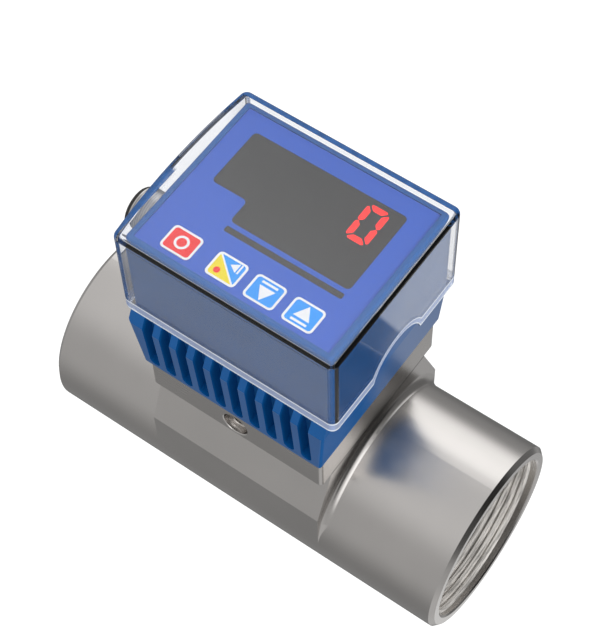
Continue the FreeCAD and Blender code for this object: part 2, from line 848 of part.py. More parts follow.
def alarm_plate(z0, z1, shrink=0.0):
    half_x = (alarm_right - alarm_left) / 2 - shrink
    half_y = (alarm_back - alarm_front) / 2 - shrink
    x = (alarm_left + alarm_right) / 2
    y = (alarm_back + alarm_front) / 2
    return slab(half_x, half_y, alarm_corner, z0, z1, x, y)


def key_plate(x, z0, z1, grow=0.0):
    return slab(key_width / 2 + grow, key_depth / 2 + grow, key_corner + grow, z0, z1, x, key_y)


def key_holes(z0, z1):
    return [key_plate(x, z0, z1, key_gap) for x in key_places.values()]


def make_front_bezel():
    bezel = slab(case_half_x, case_half_y, case_corner, bezel_z, bezel_top_z)
    bezel = bezel.makeFillet(bezel_edge, edges_at(bezel, bezel_top_z))
    post_foot = V(0, 0, display_board_z + board_thickness)
    posts = rod(display_post_radius, post_foot, V(0, 0, plate_z + post_root))
    hollow = slab(cavity_half_x, cavity_half_y, case_corner / 2, bezel_z, plate_z)
    pads = copies(rod(bezel_boss_radius, V(0, 0, bezel_z), V(0, 0, plate_z)),
                  four_corners(bezel_screw_x, bezel_screw_y))
    bezel = bezel.cut(hollow).fuse([pad.common(hollow) for pad in pads])
    bezel = bezel.fuse(copies(posts, four_corners(display_post_x, display_post_y)))
    cuts = [slab(recess_half_x, recess_half_y, recess_corner, recess_z, bezel_top_z)]
    cuts.append(window_plate(plate_z, recess_z))
    cuts.append(alarm_plate(plate_z, recess_z))
    cuts.extend(key_holes(plate_z, recess_z))
    hole = rod(bezel_screw_radius + screw_hole_clearance, V(0, 0, bezel_z), V(0, 0, recess_z))
    sink_radius = bezel_screw_head + screw_hole_clearance
    hole = hole.fuse(cone(0, sink_radius, V(0, 0, recess_z - sink_radius), V(0, 0, recess_z)))
    cuts.extend(copies(hole, four_corners(bezel_screw_x, bezel_screw_y)))
    pilot_end = V(0, 0, plate_z - pilot_run_out)
    pilot = rod(board_screw_radius + press_clearance, V(0, 0, display_board_z), pilot_end)
    cuts.extend(copies(pilot, four_corners(display_post_x, display_post_y)))
    return bezel.cut(cuts)


def make_bezel_screws():
    neck_z = bezel_screw_radius - bezel_screw_head
    shank = rod(bezel_screw_radius, V(0, 0, -bezel_screw_length), V(0, 0, neck_z))
    head = cone(bezel_screw_radius, bezel_screw_head, V(0, 0, neck_z), V(0, 0, 0))
    screw = shank.fuse(head).cut(cross_recess(0))
    top_z = recess_z - bezel_screw_sink
    return Part.makeCompound(copies(screw, four_corners(bezel_screw_x, bezel_screw_y, top_z)))


def make_overlay():
    half_x = recess_half_x - overlay_clearance
    half_y = recess_half_y - overlay_clearance
    film = slab(half_x, half_y, recess_corner, recess_z, face_z)
    windows = [window_plate(recess_z, face_z), alarm_plate(recess_z, face_z)]
    return film.cut(windows + key_holes(recess_z, face_z))


def make_key(x):
    """Cap that fills its opening, a flange that keeps it in, and a plunger over its switch."""
    cap_foot = plate_z - key_flange_gap
    flange_foot = cap_foot - key_flange
    cap = key_plate(x, cap_foot, face_z)
    flange = key_plate(x, flange_foot, cap_foot, key_flange_lap)
    tip = V(x, key_y, flange_foot - key_plunger_length)
    plunger = rod(key_plunger_radius, tip, V(x, key_y, flange_foot))
    return cap.fuse([flange, plunger])


def make_tact_switches():
    foot = display_board_z + board_thickness
    shoulder = foot + switch_height
    plunger_foot = plate_z - key_flange_gap - key_flange - key_plunger_length
    top = plunger_foot - key_travel - key_stop_gap
    switches = []
    for x in key_places.values():
        body = slab(switch_half, switch_half, switch_corner, foot, shoulder, x, key_y)
        switches.append(body.fuse(rod(switch_actuator_radius, V(x, key_y, shoulder), V(x, key_y, top))))
    return Part.makeCompound(switches)


def make_display_board():
    foot = display_board_z
    top = foot + board_thickness
    half_x = display_board_half_x
    half_y = display_board_half_y
    board = block(-half_x, half_x, -half_y, half_y, foot, top)
    room = bezel_boss_radius + boss_notch_clearance
    cuts = []
    for place in four_corners(bezel_screw_x, bezel_screw_y):
        x0, x1 = sorted((place.x - math.copysign(room, place.x), math.copysign(half_x, place.x)))
        y0, y1 = sorted((place.y - math.copysign(room, place.y), math.copysign(half_y, place.y)))
        cuts.append(block(x0, x1, y0, y1, foot, top))
    hole = rod(board_screw_radius + screw_hole_clearance, V(0, 0, foot), V(0, 0, top))
    cuts.extend(copies(hole, four_corners(display_post_x, display_post_y)))
    return board.cut(cuts)


def pan_screw():
    """Small pan head screw, head up, its seat at z = 0."""
    head = rod(board_screw_head_radius, V(0, 0, 0), V(0, 0, board_screw_head_height))
    head = head.makeChamfer(board_screw_edge, edges_at(head, board_screw_head_height))
    shank = rod(board_screw_radius, V(0, 0, -board_screw_length), V(0, 0, 0))
    return head.fuse(shank).cut(cross_recess(board_screw_head_height))


def make_display_screws():
    screw = pan_screw()
    screw.rotate(V(0, 0, 0), V(1, 0, 0), 180)
    return Part.makeCompound(copies(screw, four_corners(display_post_x, display_post_y, display_board_z)))


def make_power_screws():
    z = power_board_z + board_thickness
    return Part.makeCompound(copies(pan_screw(), four_corners(power_post_x, power_post_y, z)))


def make_display_module():
    foot = display_board_z + board_thickness
    top = plate_z - module_gap
    module = slab(module_width / 2, module_depth / 2, module_edge, foot, top, module_x, module_y)
    return module.makeChamfer(module_edge / 2, edges_at(module, top))


def make_alarm_lamps():
    return alarm_plate(display_board_z + board_thickness, plate_z - module_gap, -lamp_inset)


def make_power_board():
    foot = power_board_z
    top = foot + board_thickness
    board = slab(power_board_half_x, power_board_half_y, power_board_corner, foot, top)
    hole = rod(board_screw_radius + screw_hole_clearance, V(0, 0, foot), V(0, 0, top))
    return board.cut(copies(hole, four_corners(power_post_x, power_post_y)))


def make_terminal_block():
    """Row of rising clamp terminals, wire mouths towards the gland and screws on top."""
    foot = power_board_z + board_thickness
    top = foot + terminal_height
    half_y = terminal_poles * terminal_pitch / 2
    x0 = terminal_x - terminal_depth / 2
    x1 = terminal_x + terminal_depth / 2
    shoulder = foot + terminal_shoulder
    profile = [(x0, foot), (x0, shoulder), (x0 + terminal_bevel, top), (x1, top), (x1, foot)]
    body = prism_along_y(profile, half_y)
    mouth_z = foot + wire_mouth_rise
    screw_x = terminal_x + clamp_screw_shift
    cuts = []
    for index in range(terminal_poles):
        y = terminal_pitch * (index - (terminal_poles - 1) / 2)
        y0 = y - wire_mouth / 2
        cuts.append(block(x0, x0 + wire_mouth_depth, y0, y0 + wire_mouth, mouth_z, mouth_z + wire_mouth))
        cuts.append(rod(clamp_screw_radius, V(screw_x, y, top - clamp_screw_depth), V(screw_x, y, top)))
    return body.cut(cuts)


def make_ribbon_cable():
    """Flat cable that bows between a plug on each board."""
    foot = power_board_z + board_thickness
    top = display_board_z
    low = foot + ribbon_plug_height
    high = top - ribbon_plug_height
    half_span = (high - low) / 2
    bend = (half_span ** 2 + ribbon_bow ** 2) / (2 * ribbon_bow)
    middle = V(0, ribbon_y + ribbon_bow - bend, (low + high) / 2)
    across = V(ribbon_width / 2, 0, 0)
    sheet = tube(bend + ribbon_thickness / 2, bend - ribbon_thickness / 2, middle - across, middle + across)
    reach = 2 * ribbon_bow + ribbon_thickness
    y0 = ribbon_y - reach
    y1 = ribbon_y + reach
    keep = block(-ribbon_width, ribbon_width, y0, y1, low - ribbon_root, high + ribbon_root)
    half_x = ribbon_plug_width / 2
    half_y = ribbon_plug_depth / 2
    spans = (foot, low), (high, top)
    plugs = [slab(half_x, half_y, plug_corner, z0, z1, 0, ribbon_y) for z0, z1 in spans]
    return sheet.common(keep).fuse(plugs)


def hood(half_x, half_y, corner, edge, top_z):
    """Block with rounded corners and top edges on the cover's rim plane, its left side bowed outwards."""
    z0 = cover_rim_z
    far_left = V(-half_x, half_y, z0)
    near_left = V(-half_x, -half_y, z0)
    near_right = V(half_x, -half_y, z0)
    far_right = V(half_x, half_y, z0)
    wire = Part.Wire([
        Part.LineSegment(near_left, near_right).toShape(),
        Part.LineSegment(near_right, far_right).toShape(),
        Part.LineSegment(far_right, far_left).toShape(),
        Part.Arc(far_left, V(-half_x - cover_bulge, 0, z0), near_left).toShape(),
    ])
    solid = Part.Face(wire).extrude(V(0, 0, top_z - z0))
    solid = solid.makeFillet(corner, upright_edges(solid))
    return solid.makeFillet(edge, edges_at(solid, top_z))


def make_clear_cover():
    inner_corner = cover_corner - cover_wall
    inner_edge = cover_edge - cover_wall
    inner_x = cover_half_x - cover_wall
    inner_y = cover_half_y - cover_wall
    outside = hood(cover_half_x, cover_half_y, cover_corner, cover_edge, cover_top_z)
    inside = hood(inner_x, inner_y, inner_corner, inner_edge, cover_inner_z)
    reach = 2 * cover_half_x
    notch = rod(notch_radius, V(-reach, 0, gland_z), V(reach, 0, gland_z))
    return outside.cut([inside, notch])


def along_gland(distance):
    """Point on the gland's axis, a distance out from the seat on the housing."""
    return V(gland_face_x - distance, 0, gland_z)


def make_gland_washer():
    bore = gland_thread_radius + gland_fit
    return tube(gland_radius, bore, along_gland(0), along_gland(gland_seat))


def make_gland_body():
    collar = rod(gland_radius, along_gland(gland_seat), along_gland(gland_collar_end))
    rims = [edge for edge in collar.Edges if len(edge.Vertexes) == 1]
    collar = collar.makeChamfer(gland_edge, rims)
    thread = rod(gland_thread_radius, along_gland(gland_thread_end), along_gland(gland_seat))
    spigot = rod(gland_spigot_radius, along_gland(gland_collar_end), along_gland(gland_spigot_end))
    bore = rod(gland_bore_radius, along_gland(gland_thread_end), along_gland(gland_spigot_end))
    return collar.fuse([thread, spigot]).cut(bore)


def make_gland_nut():
    nut = rod(gland_radius, along_gland(gland_nut_start), along_gland(gland_nut_end))
    rims = [edge for edge in nut.Edges if len(edge.Vertexes) == 1]
    nut = nut.makeChamfer(gland_edge, rims)
    cuts = [rod(gland_nut_bore, along_gland(gland_nut_start), along_gland(gland_nut_end))]
    step = gland_spigot_end + gland_nut_gap
    cuts.append(rod(gland_spigot_radius + gland_fit, along_gland(gland_nut_start), along_gland(step)))
    near_x = gland_face_x - gland_nut_start - gland_nut_gap
    far_x = gland_face_x - gland_spigot_end
    half = gland_radius - gland_flat_cut
    for side in (-1, 1):
        y0, y1 = sorted((side * half, side * 2 * gland_radius))
        cuts.append(block(far_x, near_x, y0, y1, gland_z - gland_radius, gland_z + gland_radius))
    return nut.cut(cuts)


def make_gland_seal():
    lip_end = gland_nut_end + gland_lip
    step = gland_spigot_end + gland_nut_gap
    lip = rod(gland_lip_radius, along_gland(gland_nut_end), along_gland(lip_end))
    mouth = [edge for edge in lip.Edges if abs(edge.CenterOfMass.x - along_gland(lip_end).x) < 1e-6]
    lip = lip.makeChamfer(gland_lip_edge, mouth)
    bush = rod(gland_nut_bore - gland_fit, along_gland(step), along_gland(gland_nut_end))
    sleeve = rod(gland_bore_radius - gland_fit, along_gland(gland_collar_end), along_gland(step))
    bore = rod(cable_radius, along_gland(gland_collar_end), along_gland(lip_end))
    return lip.fuse([bush, sleeve]).cut(bore)


def make_gland_locknut():
    nut = hexagon(locknut_flats, 0, locknut_length)
    nut.rotate(V(0, 0, 0), V(0, 0, 1), 30)
    nut.rotate(V(0, 0, 0), V(0, 1, 0), 90)
    nut = nut.translated(V(-gland_inner_boss_x, 0, gland_z))
    end = V(locknut_length - gland_inner_boss_x, 0, gland_z)
    return nut.cut(rod(gland_thread_radius + press_clearance, V(-gland_inner_boss_x, 0, gland_z), end))


pieces = {
    "flow_body": make_flow_body(),
    "lock_collar": make_lock_collar(),
    "collar_screws": make_collar_screws(),
    "set_screw": make_set_screw(),
    "sensor_stem": make_sensor_stem(),
    "upper_o_ring": make_o_ring(upper_groove_drop),
    "lower_o_ring": make_o_ring(lower_groove_drop),
    "rotor_pin": make_rotor_pin(),
    "paddle_wheel": make_paddle_wheel(),
    "rotor_magnets": make_rotor_magnets(),
    "rotor_bushes": make_rotor_bushes(),
    "hall_sensor": make_hall_sensor(),
    "sensor_lead": make_sensor_lead(),
    "housing": make_housing(),
    "stem_gasket": make_stem_gasket(),
    "stem_nut": make_stem_nut(),
    "case_gasket": make_case_gasket(),
    "front_bezel": make_front_bezel(),
    "bezel_screws": make_bezel_screws(),
    "overlay": make_overlay(),
    "display_window": window_plate(plate_z, face_z, window_clearance),
    "alarm_window": alarm_plate(plate_z, face_z, window_clearance),
    "display_board": make_display_board(),
    "display_screws": make_display_screws(),
    "display_module": make_display_module(),
    "alarm_lamps": make_alarm_lamps(),
    "tact_switches": make_tact_switches(),
    "power_board": make_power_board(),
    "power_screws": make_power_screws(),
    "terminal_block": make_terminal_block(),
    "ribbon_cable": make_ribbon_cable(),
    "clear_cover": make_clear_cover(),
    "gland_washer": make_gland_washer(),
    "gland_body": make_gland_body(),
    "gland_nut": make_gland_nut(),
    "gland_seal": make_gland_seal(),
    "gland_locknut": make_gland_locknut(),
}
for key_name, key_x in key_places.items():
    pieces[key_name] = make_key(key_x)

os.makedirs("parts", exist_ok=True)
for name, shape in pieces.items():
    shape.translated(V(body_length / 2, 0, 0)).exportStep(f"parts/{name}.step")
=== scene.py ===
"""Looks, printed face, threads and stage for a paddle wheel flow meter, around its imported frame."""

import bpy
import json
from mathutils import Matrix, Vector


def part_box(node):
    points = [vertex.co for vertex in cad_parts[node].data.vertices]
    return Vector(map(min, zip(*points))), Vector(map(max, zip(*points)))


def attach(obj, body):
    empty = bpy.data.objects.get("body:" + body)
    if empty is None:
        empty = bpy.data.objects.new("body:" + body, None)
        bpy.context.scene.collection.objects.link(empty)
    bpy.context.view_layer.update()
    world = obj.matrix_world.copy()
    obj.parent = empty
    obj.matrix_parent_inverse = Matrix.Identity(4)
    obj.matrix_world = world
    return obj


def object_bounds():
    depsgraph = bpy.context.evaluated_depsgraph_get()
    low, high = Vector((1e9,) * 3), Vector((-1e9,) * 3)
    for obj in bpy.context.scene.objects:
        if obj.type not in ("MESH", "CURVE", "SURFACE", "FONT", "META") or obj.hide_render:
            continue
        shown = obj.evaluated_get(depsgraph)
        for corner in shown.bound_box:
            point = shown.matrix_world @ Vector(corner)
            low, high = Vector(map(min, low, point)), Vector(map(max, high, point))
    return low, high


bl_info = {
    "name": "Paddle Wheel Flow Meter",
    "version": (1, 0, 0),
    "blender": (4, 5, 0),
    "location": "View3D > Sidebar > Flow Meter",
    "description": "Finishes a flow meter's pieces, prints its face and keys, and sets its stage",
    "category": "Object",
}

import json
import math

import bmesh
import bpy
from bpy.props import FloatProperty, FloatVectorProperty, IntProperty, PointerProperty
from mathutils import Matrix, Vector

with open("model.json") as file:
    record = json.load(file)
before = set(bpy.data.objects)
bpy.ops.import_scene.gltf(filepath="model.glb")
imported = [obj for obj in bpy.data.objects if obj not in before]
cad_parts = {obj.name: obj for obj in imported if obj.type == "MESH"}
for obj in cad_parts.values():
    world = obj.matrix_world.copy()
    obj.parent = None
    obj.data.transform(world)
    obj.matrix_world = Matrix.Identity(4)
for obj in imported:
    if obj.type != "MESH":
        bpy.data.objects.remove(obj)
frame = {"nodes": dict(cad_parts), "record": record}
CAD_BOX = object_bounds()
MIDDLE = (CAD_BOX[0] + CAD_BOX[1]) / 2
MOUNTS = {mount["name"]: mount for mount in frame["record"]["mounts"]}
MM = 0.001
TURN = 2 * math.pi

# Surface detail
CLOUD_SIZE = 30 * MM
TURNING_PITCH = 0.45 * MM
SEAM_END = (0.35 * MM, 0.45 * MM)
FLOW_MARK = 14 * MM
MOULD_GRAIN = 0.35 * MM
MOULD_DEPTH = 0.006 * MM
RUBBER_DEPTH = 0.012 * MM
POLISHED_FROM = (-14 * MM, 6 * MM)
TOOL_MARK = 0.5 * MM
TRACK_PITCH = 2.54 * MM
CORE_PITCH = 1.27 * MM
GLAND_RING = 0.8 * MM

# Thread ridges: share of the pitch at the root, depth under the wall, and what is left at the ends
RIDGE_ROOT = 0.46
RIDGE_SINK = 0.02 * MM
LEAST_RISE = 0.04
LEAST_WIDTH = 0.2

# Thin printed and lit plates: softened edges of the marks and of the bands and digit
FINE_EDGE = 0.02 * MM
SOFT_EDGE = 0.03 * MM
DIGIT_SINK = 0.01 * MM
DIGIT_THICKNESS = 0.07 * MM

# Keys: the flange's lap around the cap, and the marks about a cap's middle in millimetres
KEY_SLOTS = {
    "set_key": "red_key", "shift_key": "split_key", "down_key": "blue_key", "up_key": "blue_key",
}
FLANGE_LAP = 0.8 * MM
INNER_CORNER = 0.7
PRINT_LAP = 0.02 * MM
SPLIT_GAP = 0.2 * MM
SPLIT_HALF = 0.25 * MM
RING_RADII = (2.35, 1.55)
RING_STEPS = 40
DOT_MIDDLE = (-2.3, -1.7)
DOT_RADIUS = 1.05
DOT_STEPS = 32
LEFT_ARROW = (
    ((0.0, 1.9), (2.5, 0.3), (2.5, 3.55)),
    ((3.0, 0.3), (3.5, 0.3), (3.5, 3.55), (3.0, 3.55)),
)
UP_ARROW = (
    ((-2.7, -1.35), (2.7, -1.35), (0.0, 3.25)),
    ((-2.7, -2.25), (2.7, -2.25), (2.7, -3.0), (-2.7, -3.0)),
)
DOWN_ARROW = tuple(tuple((x, -y) for x, y in outline) for outline in UP_ARROW)

# Stage
FLOOR_GLOW = 1.15
FILL_SIZE = 0.5
FILL_OFFSET = Vector((0.65, 0, 0.3))
SENSOR_WIDTH = 36.0


class Wire:
    """Output of a shader node that takes part in Python expressions on numbers."""

    def __init__(self, shader, socket):
        self.shader = shader
        self.socket = socket

    def _math(self, operation, *values):
        inputs = dict(enumerate(values))
        return self.shader.node("ShaderNodeMath", {"operation": operation}, inputs)

    def __add__(self, other):
        return self._math("ADD", self, other)

    def __radd__(self, other):
        return self._math("ADD", other, self)

    def __sub__(self, other):
        return self._math("SUBTRACT", self, other)

    def __rsub__(self, other):
        return self._math("SUBTRACT", other, self)

    def __mul__(self, other):
        return self._math("MULTIPLY", self, other)

    def __rmul__(self, other):
        return self._math("MULTIPLY", other, self)

    def __pow__(self, other):
        return self._math("POWER", self, other)

    def __neg__(self):
        return 0 - self

    def __abs__(self):
        return self._math("ABSOLUTE", self)

    def sine(self):
        return self._math("SINE", self)

    def larger(self, other):
        return self._math("MAXIMUM", self, other)

    def smaller(self, other):
        return self._math("MINIMUM", self, other)

    def step(self, low, high):
        """Smooth step from 0 at low to 1 at high."""
        settings = {"interpolation_type": "SMOOTHSTEP"}
        limits = {"Value": self, "From Min": low, "From Max": high}
        return self.shader.node("ShaderNodeMapRange", settings, limits)

    def fade(self, low, high):
        """Smooth step from 1 at low to 0 at high."""
        return 1 - self.step(low, high)


class Shader:
    """Node tree of a finish, filled in by expressions and by one method for every other node."""

    def __init__(self, tree):
        self.tree = tree
        tree.nodes.clear()

    def node(self, kind, settings=None, inputs=None, output=0):
        made = self.tree.nodes.new(kind)
        for name, value in (settings or {}).items():
            setattr(made, name, value)
        for name, value in (inputs or {}).items():
            if isinstance(value, Wire):
                self.tree.links.new(value.socket, made.inputs[name])
            else:
                made.inputs[name].default_value = value
        return Wire(self, made.outputs[output]) if made.outputs else None

    def place(self):
        return self.node("ShaderNodeTexCoord", output="Object")

    def normal(self):
        return self.node("ShaderNodeTexCoord", output="Normal")

    def split(self, vector):
        return [self.node("ShaderNodeSeparateXYZ", {}, {0: vector}, output=axis) for axis in "XYZ"]

    def stretched(self, factors):
        """Place on the piece with each axis multiplied by its factor."""
        inputs = {0: self.place(), 1: factors}
        return self.node("ShaderNodeVectorMath", {"operation": "MULTIPLY"}, inputs)

    def noise(self, size, detail=2.0, vector=None):
        """Cloudy noise from 0 to 1 whose blotches are about a given size across, in metres."""
        inputs = {"Vector": vector or self.place(), "Scale": 1 / size, "Detail": detail}
        return self.node("ShaderNodeTexNoise", {}, inputs)

    def blend(self, factor, first, second):
        """Colour that goes from first to second as factor goes from 0 to 1."""
        colours = [c if isinstance(c, Wire) else (*c, 1.0) for c in (first, second)]
        inputs = {0: factor, 6: colours[0], 7: colours[1]}
        return self.node("ShaderNodeMix", {"data_type": "RGBA"}, inputs, output=2)

    def bump(self, height, distance, strength):
        inputs = {"Height": height, "Distance": distance, "Strength": strength}
        return self.node("ShaderNodeBump", {}, inputs)

    def surface(self, inputs):
        return self.node("ShaderNodeBsdfPrincipled", {}, inputs)

    def mix(self, factor, first, second):
        """Shader that goes from first to second as factor goes from 0 to 1."""
        return self.node("ShaderNodeMixShader", {}, {0: factor, 1: first, 2: second})

    def output(self, surface):
        self.node("ShaderNodeOutputMaterial", {}, {"Surface": surface})


def new_finish(name):
    material = bpy.data.materials.new(name)
    material.use_nodes = True
    return material, Shader(material.node_tree)


def shade(colour, factor):
    return tuple(channel * factor for channel in colour)


def light_paths(shader, *names):
    return [shader.node("ShaderNodeLightPath", output=name) for name in names]


def seen_straight(shader):
    """1 where the camera looks, also through clear plastic, and 0 for reflected light."""
    camera, through, glossy, diffuse = light_paths(
        shader, "Is Camera Ray", "Is Transmission Ray", "Glossy Depth", "Diffuse Depth")
    return camera.larger(through * (glossy + diffuse).fade(0.0, 1.0))


def seen_in_cover(shader):
    """1 for light on its way to a mirror image in the polished cover."""
    glossy, sharp, through, depth = light_paths(
        shader, "Is Glossy Ray", "Is Singular Ray", "Is Transmission Ray", "Glossy Depth")
    return (glossy * sharp).larger(through * depth.step(0.0, 1.0))


def steel_finish(name, colour, roughness, grain, turned=False, seam=None):
    """Satin steel with a drawn grain and soft blotches, and painted shade where the cover mirrors it.

    A turned piece has tool rings on its faces square to the pipe. A seam is the level of the
    foot of the piece, where a dark line runs.
    """
    material, shader = new_finish(name)
    cloud = shader.noise(CLOUD_SIZE, 3.0)
    fine = shader.noise(grain, 2.0, shader.stretched((0.03, 1, 1)))
    height = fine
    if turned:
        _, y, z = shader.split(shader.place())
        along = shader.split(shader.node("ShaderNodeNewGeometry", output="Normal"))[0]
        radius = (y ** 2 + z ** 2) ** 0.5
        rings = (radius * (TURN / TURNING_PITCH)).sine()
        height = fine + abs(along).step(0.9, 0.98) * rings * 0.6
    metal = shader.blend(cloud.step(0.3, 0.7), shade(colour, 0.95), colour)
    if seam is not None:
        level = shader.split(shader.place())[2] - seam
        metal = shader.blend(level.step(*SEAM_END), shade(colour, 0.1), metal)
    shader.output(shader.surface({
        # Painted shade: the colour drops to 0.38 of the steel's in its mirror image in the cover
        "Base Color": shader.blend(seen_in_cover(shader), metal, shade(colour, 0.38)),
        "Metallic": 1.0,
        "Roughness": roughness + (fine - 0.5) * 0.06 + (cloud - 0.5) * 0.05,
        "Normal": shader.bump(height, 0.001 * MM, 0.25),
    }))
    return material


def moulded_finish(name, colour, roughness, grain=MOULD_GRAIN, depth=MOULD_DEPTH, shine=0.3,
                   metallic=0.0, front=0.0):
    """Moulded piece: an even colour with faint flow marks and a fine spark-eroded grain.

    A front is the weight of the polish on its front wall. The right wall is then polished too,
    in its back half.
    """
    material, shader = new_finish(name)
    flow = shader.noise(FLOW_MARK)
    fine = shader.noise(grain)
    inputs = {
        "Base Color": shader.blend(flow.step(0.25, 0.75), shade(colour, 0.92), colour),
        "Metallic": metallic,
        "Roughness": roughness + (fine - 0.5) * 0.12,
        "Specular IOR Level": shine,
        "Normal": shader.bump(fine, depth, 0.5),
    }
    if front:
        x, y, _ = shader.split(shader.normal())
        depth_in = shader.split(shader.place())[1]
        beside = x.step(0.8, 0.95) * depth_in.step(*POLISHED_FROM)
        inputs["Coat Weight"] = beside.larger((-y).step(0.8, 0.95) * front)
        inputs["Coat Roughness"] = 0.3
    shader.output(shader.surface(inputs))
    return material


def ringed_finish(name, colour, roughness, pitch):
    """Plated metal with fine turned rings along the gland, with painted shade in the ring grooves."""
    material, shader = new_finish(name)
    along = shader.split(shader.place())[0]
    rings = (along * (TURN / pitch)).sine() * 0.5 + 0.5
    wear = shader.noise(3 * MM)
    shader.output(shader.surface({
        # Painted shade: the colour halves in the grooves of the turned rings that the bump carves
        "Base Color": shader.blend(rings, shade(colour, 0.5), colour),
        "Metallic": 1.0,
        "Roughness": roughness + (wear - 0.5) * 0.1,
        "Normal": shader.bump(rings, 0.04 * MM, 0.6),
    }))
    return material


def thread_finish(name, colour):
    """Cut thread: bright steel with tool marks that run around the mouth."""
    material, shader = new_finish(name)
    marks = shader.noise(TOOL_MARK, 3.0, shader.stretched((1, 0.05, 0.05)))
    shader.output(shader.surface({
        "Base Color": shader.blend(marks.step(0.3, 0.6), shade(colour, 0.4), colour),
        "Metallic": 0.15,
        "Roughness": 0.3 + marks * 0.2,
        "Normal": shader.bump(marks, 0.05 * MM, 0.6),
    }))
    return material


def board_finish(name, colour):
    """Circuit board: solder mask with copper runs that show through as a lighter grid."""
    material, shader = new_finish(name)
    x, y, _ = shader.split(shader.place())
    runs = (x * (math.pi / TRACK_PITCH)).sine() * (y * (math.pi / TRACK_PITCH)).sine()
    copper = runs.step(0.35, 0.6)
    shader.output(shader.surface({
        "Base Color": shader.blend(copper, colour, shade(colour, 1.9)),
        "Roughness": 0.35 + copper * 0.1,
        "Normal": shader.bump(copper, 0.02 * MM, 0.6),
    }))
    return material


def ribbon_finish(name, colour):
    """Flat cable: parallel cores that stand out as rounded ridges, with painted shade in the grooves
    between them.
    """
    material, shader = new_finish(name)
    across = shader.split(shader.place())[0]
    core = abs((across * (math.pi / CORE_PITCH)).sine())
    shader.output(shader.surface({
        # Painted shade: the colour darkens to 0.7 in the grooves between the cores
        "Base Color": shader.blend(core, shade(colour, 0.7), colour),
        "Roughness": 0.5 - core * 0.1,
        "Normal": shader.bump(core, 0.15 * MM, 0.8),
    }))
    return material


def film_finish(name, colour, roughness):
    """Printed polyester film with a faint even stipple."""
    material, shader = new_finish(name)
    stipple = shader.noise(0.25 * MM, 1.0)
    tone = shader.noise(CLOUD_SIZE, 1.0)
    shader.output(shader.surface({
        "Base Color": shader.blend(tone.step(0.2, 0.8), shade(colour, 0.96), colour),
        "Roughness": roughness + (stipple - 0.5) * 0.1,
        "Specular IOR Level": 0.08,
        "Normal": shader.bump(stipple, 0.002 * MM, 0.4),
    }))
    return material


def lit_finish(name, colour, strength):
    """Lit segment seen through the smoked window, a little brighter in patches."""
    material, shader = new_finish(name)
    glow = shader.noise(2.5 * MM, 1.0)
    lit = shader.blend(glow.step(0.2, 0.8), shade(colour, 0.94), colour)
    shader.output(shader.surface({
        "Base Color": lit,
        "Roughness": 0.4 + glow * 0.05,
        "Emission Color": lit,
        "Emission Strength": strength,
    }))
    return material


def clear_finish(name, cover):
    """Clear moulded plastic with a faint haze, painted refraction on its round edges and a painted
    light band along its rim.
    """
    material, shader = new_finish(name)
    haze = shader.noise(9 * MM)
    streak = shader.noise(2.5 * MM)
    clear = shader.surface({
        "Base Color": shader.blend(haze, shade(cover.tint, 0.98), cover.tint),
        "Roughness": 0.0,
        "IOR": cover.ior,
        "Specular IOR Level": cover.gloss,
        "Transmission Weight": 1.0,
    })
    place = shader.split(shader.place())
    facing = 1 - 2 * shader.node("ShaderNodeNewGeometry", output="Backfacing")
    normal = [axis * facing for axis in shader.split(shader.normal())]
    upright = abs(normal[2]).fade(0.03, 0.1)
    # Painted refraction on the round edges and painted light along the rim, laid over the clear
    # plastic
    painted_refraction, edge = cover_edges(shader, cover, streak, place, normal, upright)
    painted_light, rim_paint = cover_rim(shader, cover, streak, place, normal, upright)
    shader.output(shader.mix(painted_light, shader.mix(painted_refraction, clear, edge), rim_paint))
    return material


def cover_edges(shader, cover, streak, place, normal, upright):
    """Share and shader of the painted refraction on the round edges, the housing's blue that they
    would pick up from beside them, and of a painted dark line on the front right corner.
    """
    low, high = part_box("clear_cover")
    px, py, _ = place
    x, y, z = normal
    top_edge = z.step(0.03, 0.12) * z.fade(0.9, 0.98) * y.larger(-x).step(0.15, 0.4)
    bare = (-x).step(0.15, 0.4) * py.step(-4 * MM, 0) * py.fade(22 * MM, 26 * MM)
    corner = upright * abs(x).step(0.1, 0.2) * abs(x).fade(0.985, 0.998) * (-y).step(0.05, 0.15)
    # Painted shade: a black line down the front right corner, where the clear wall would look dark
    dark = corner * x.step(0.78, 0.84)
    from_left = px - low.x
    near_left = from_left.fade(3.6 * MM, 3.8 * MM) * py.fade(-5 * MM, -3 * MM)
    at_back = (high.y - py).fade(2.6 * MM, 2.8 * MM)
    on_top = z.step(0.5, 0.9) * near_left.larger(at_back)
    on_front = upright * (-y).step(0.5, 0.8) * from_left.fade(4.5 * MM, 5 * MM)
    # Painted refraction: share of the housing's blue painted over the clear plastic on the round
    # edges
    painted_refraction = (top_edge * (0.95 - 0.65 * bare)).larger(corner * 0.5).larger(dark * 0.92)
    painted_refraction = painted_refraction.larger(on_top * 0.9).larger(on_front * 0.7)
    streaky = streak.step(0.3, 0.75)
    colour = shader.blend(streaky, shade(cover.painted_edge_colour, 0.7), cover.painted_edge_colour)
    edge = shader.surface({
        "Base Color": shader.blend(dark, colour, (0.002, 0.002, 0.002)),
        "Roughness": 0.12 + streak * 0.1,
        "Specular IOR Level": 0.15,
    })
    return painted_refraction, edge


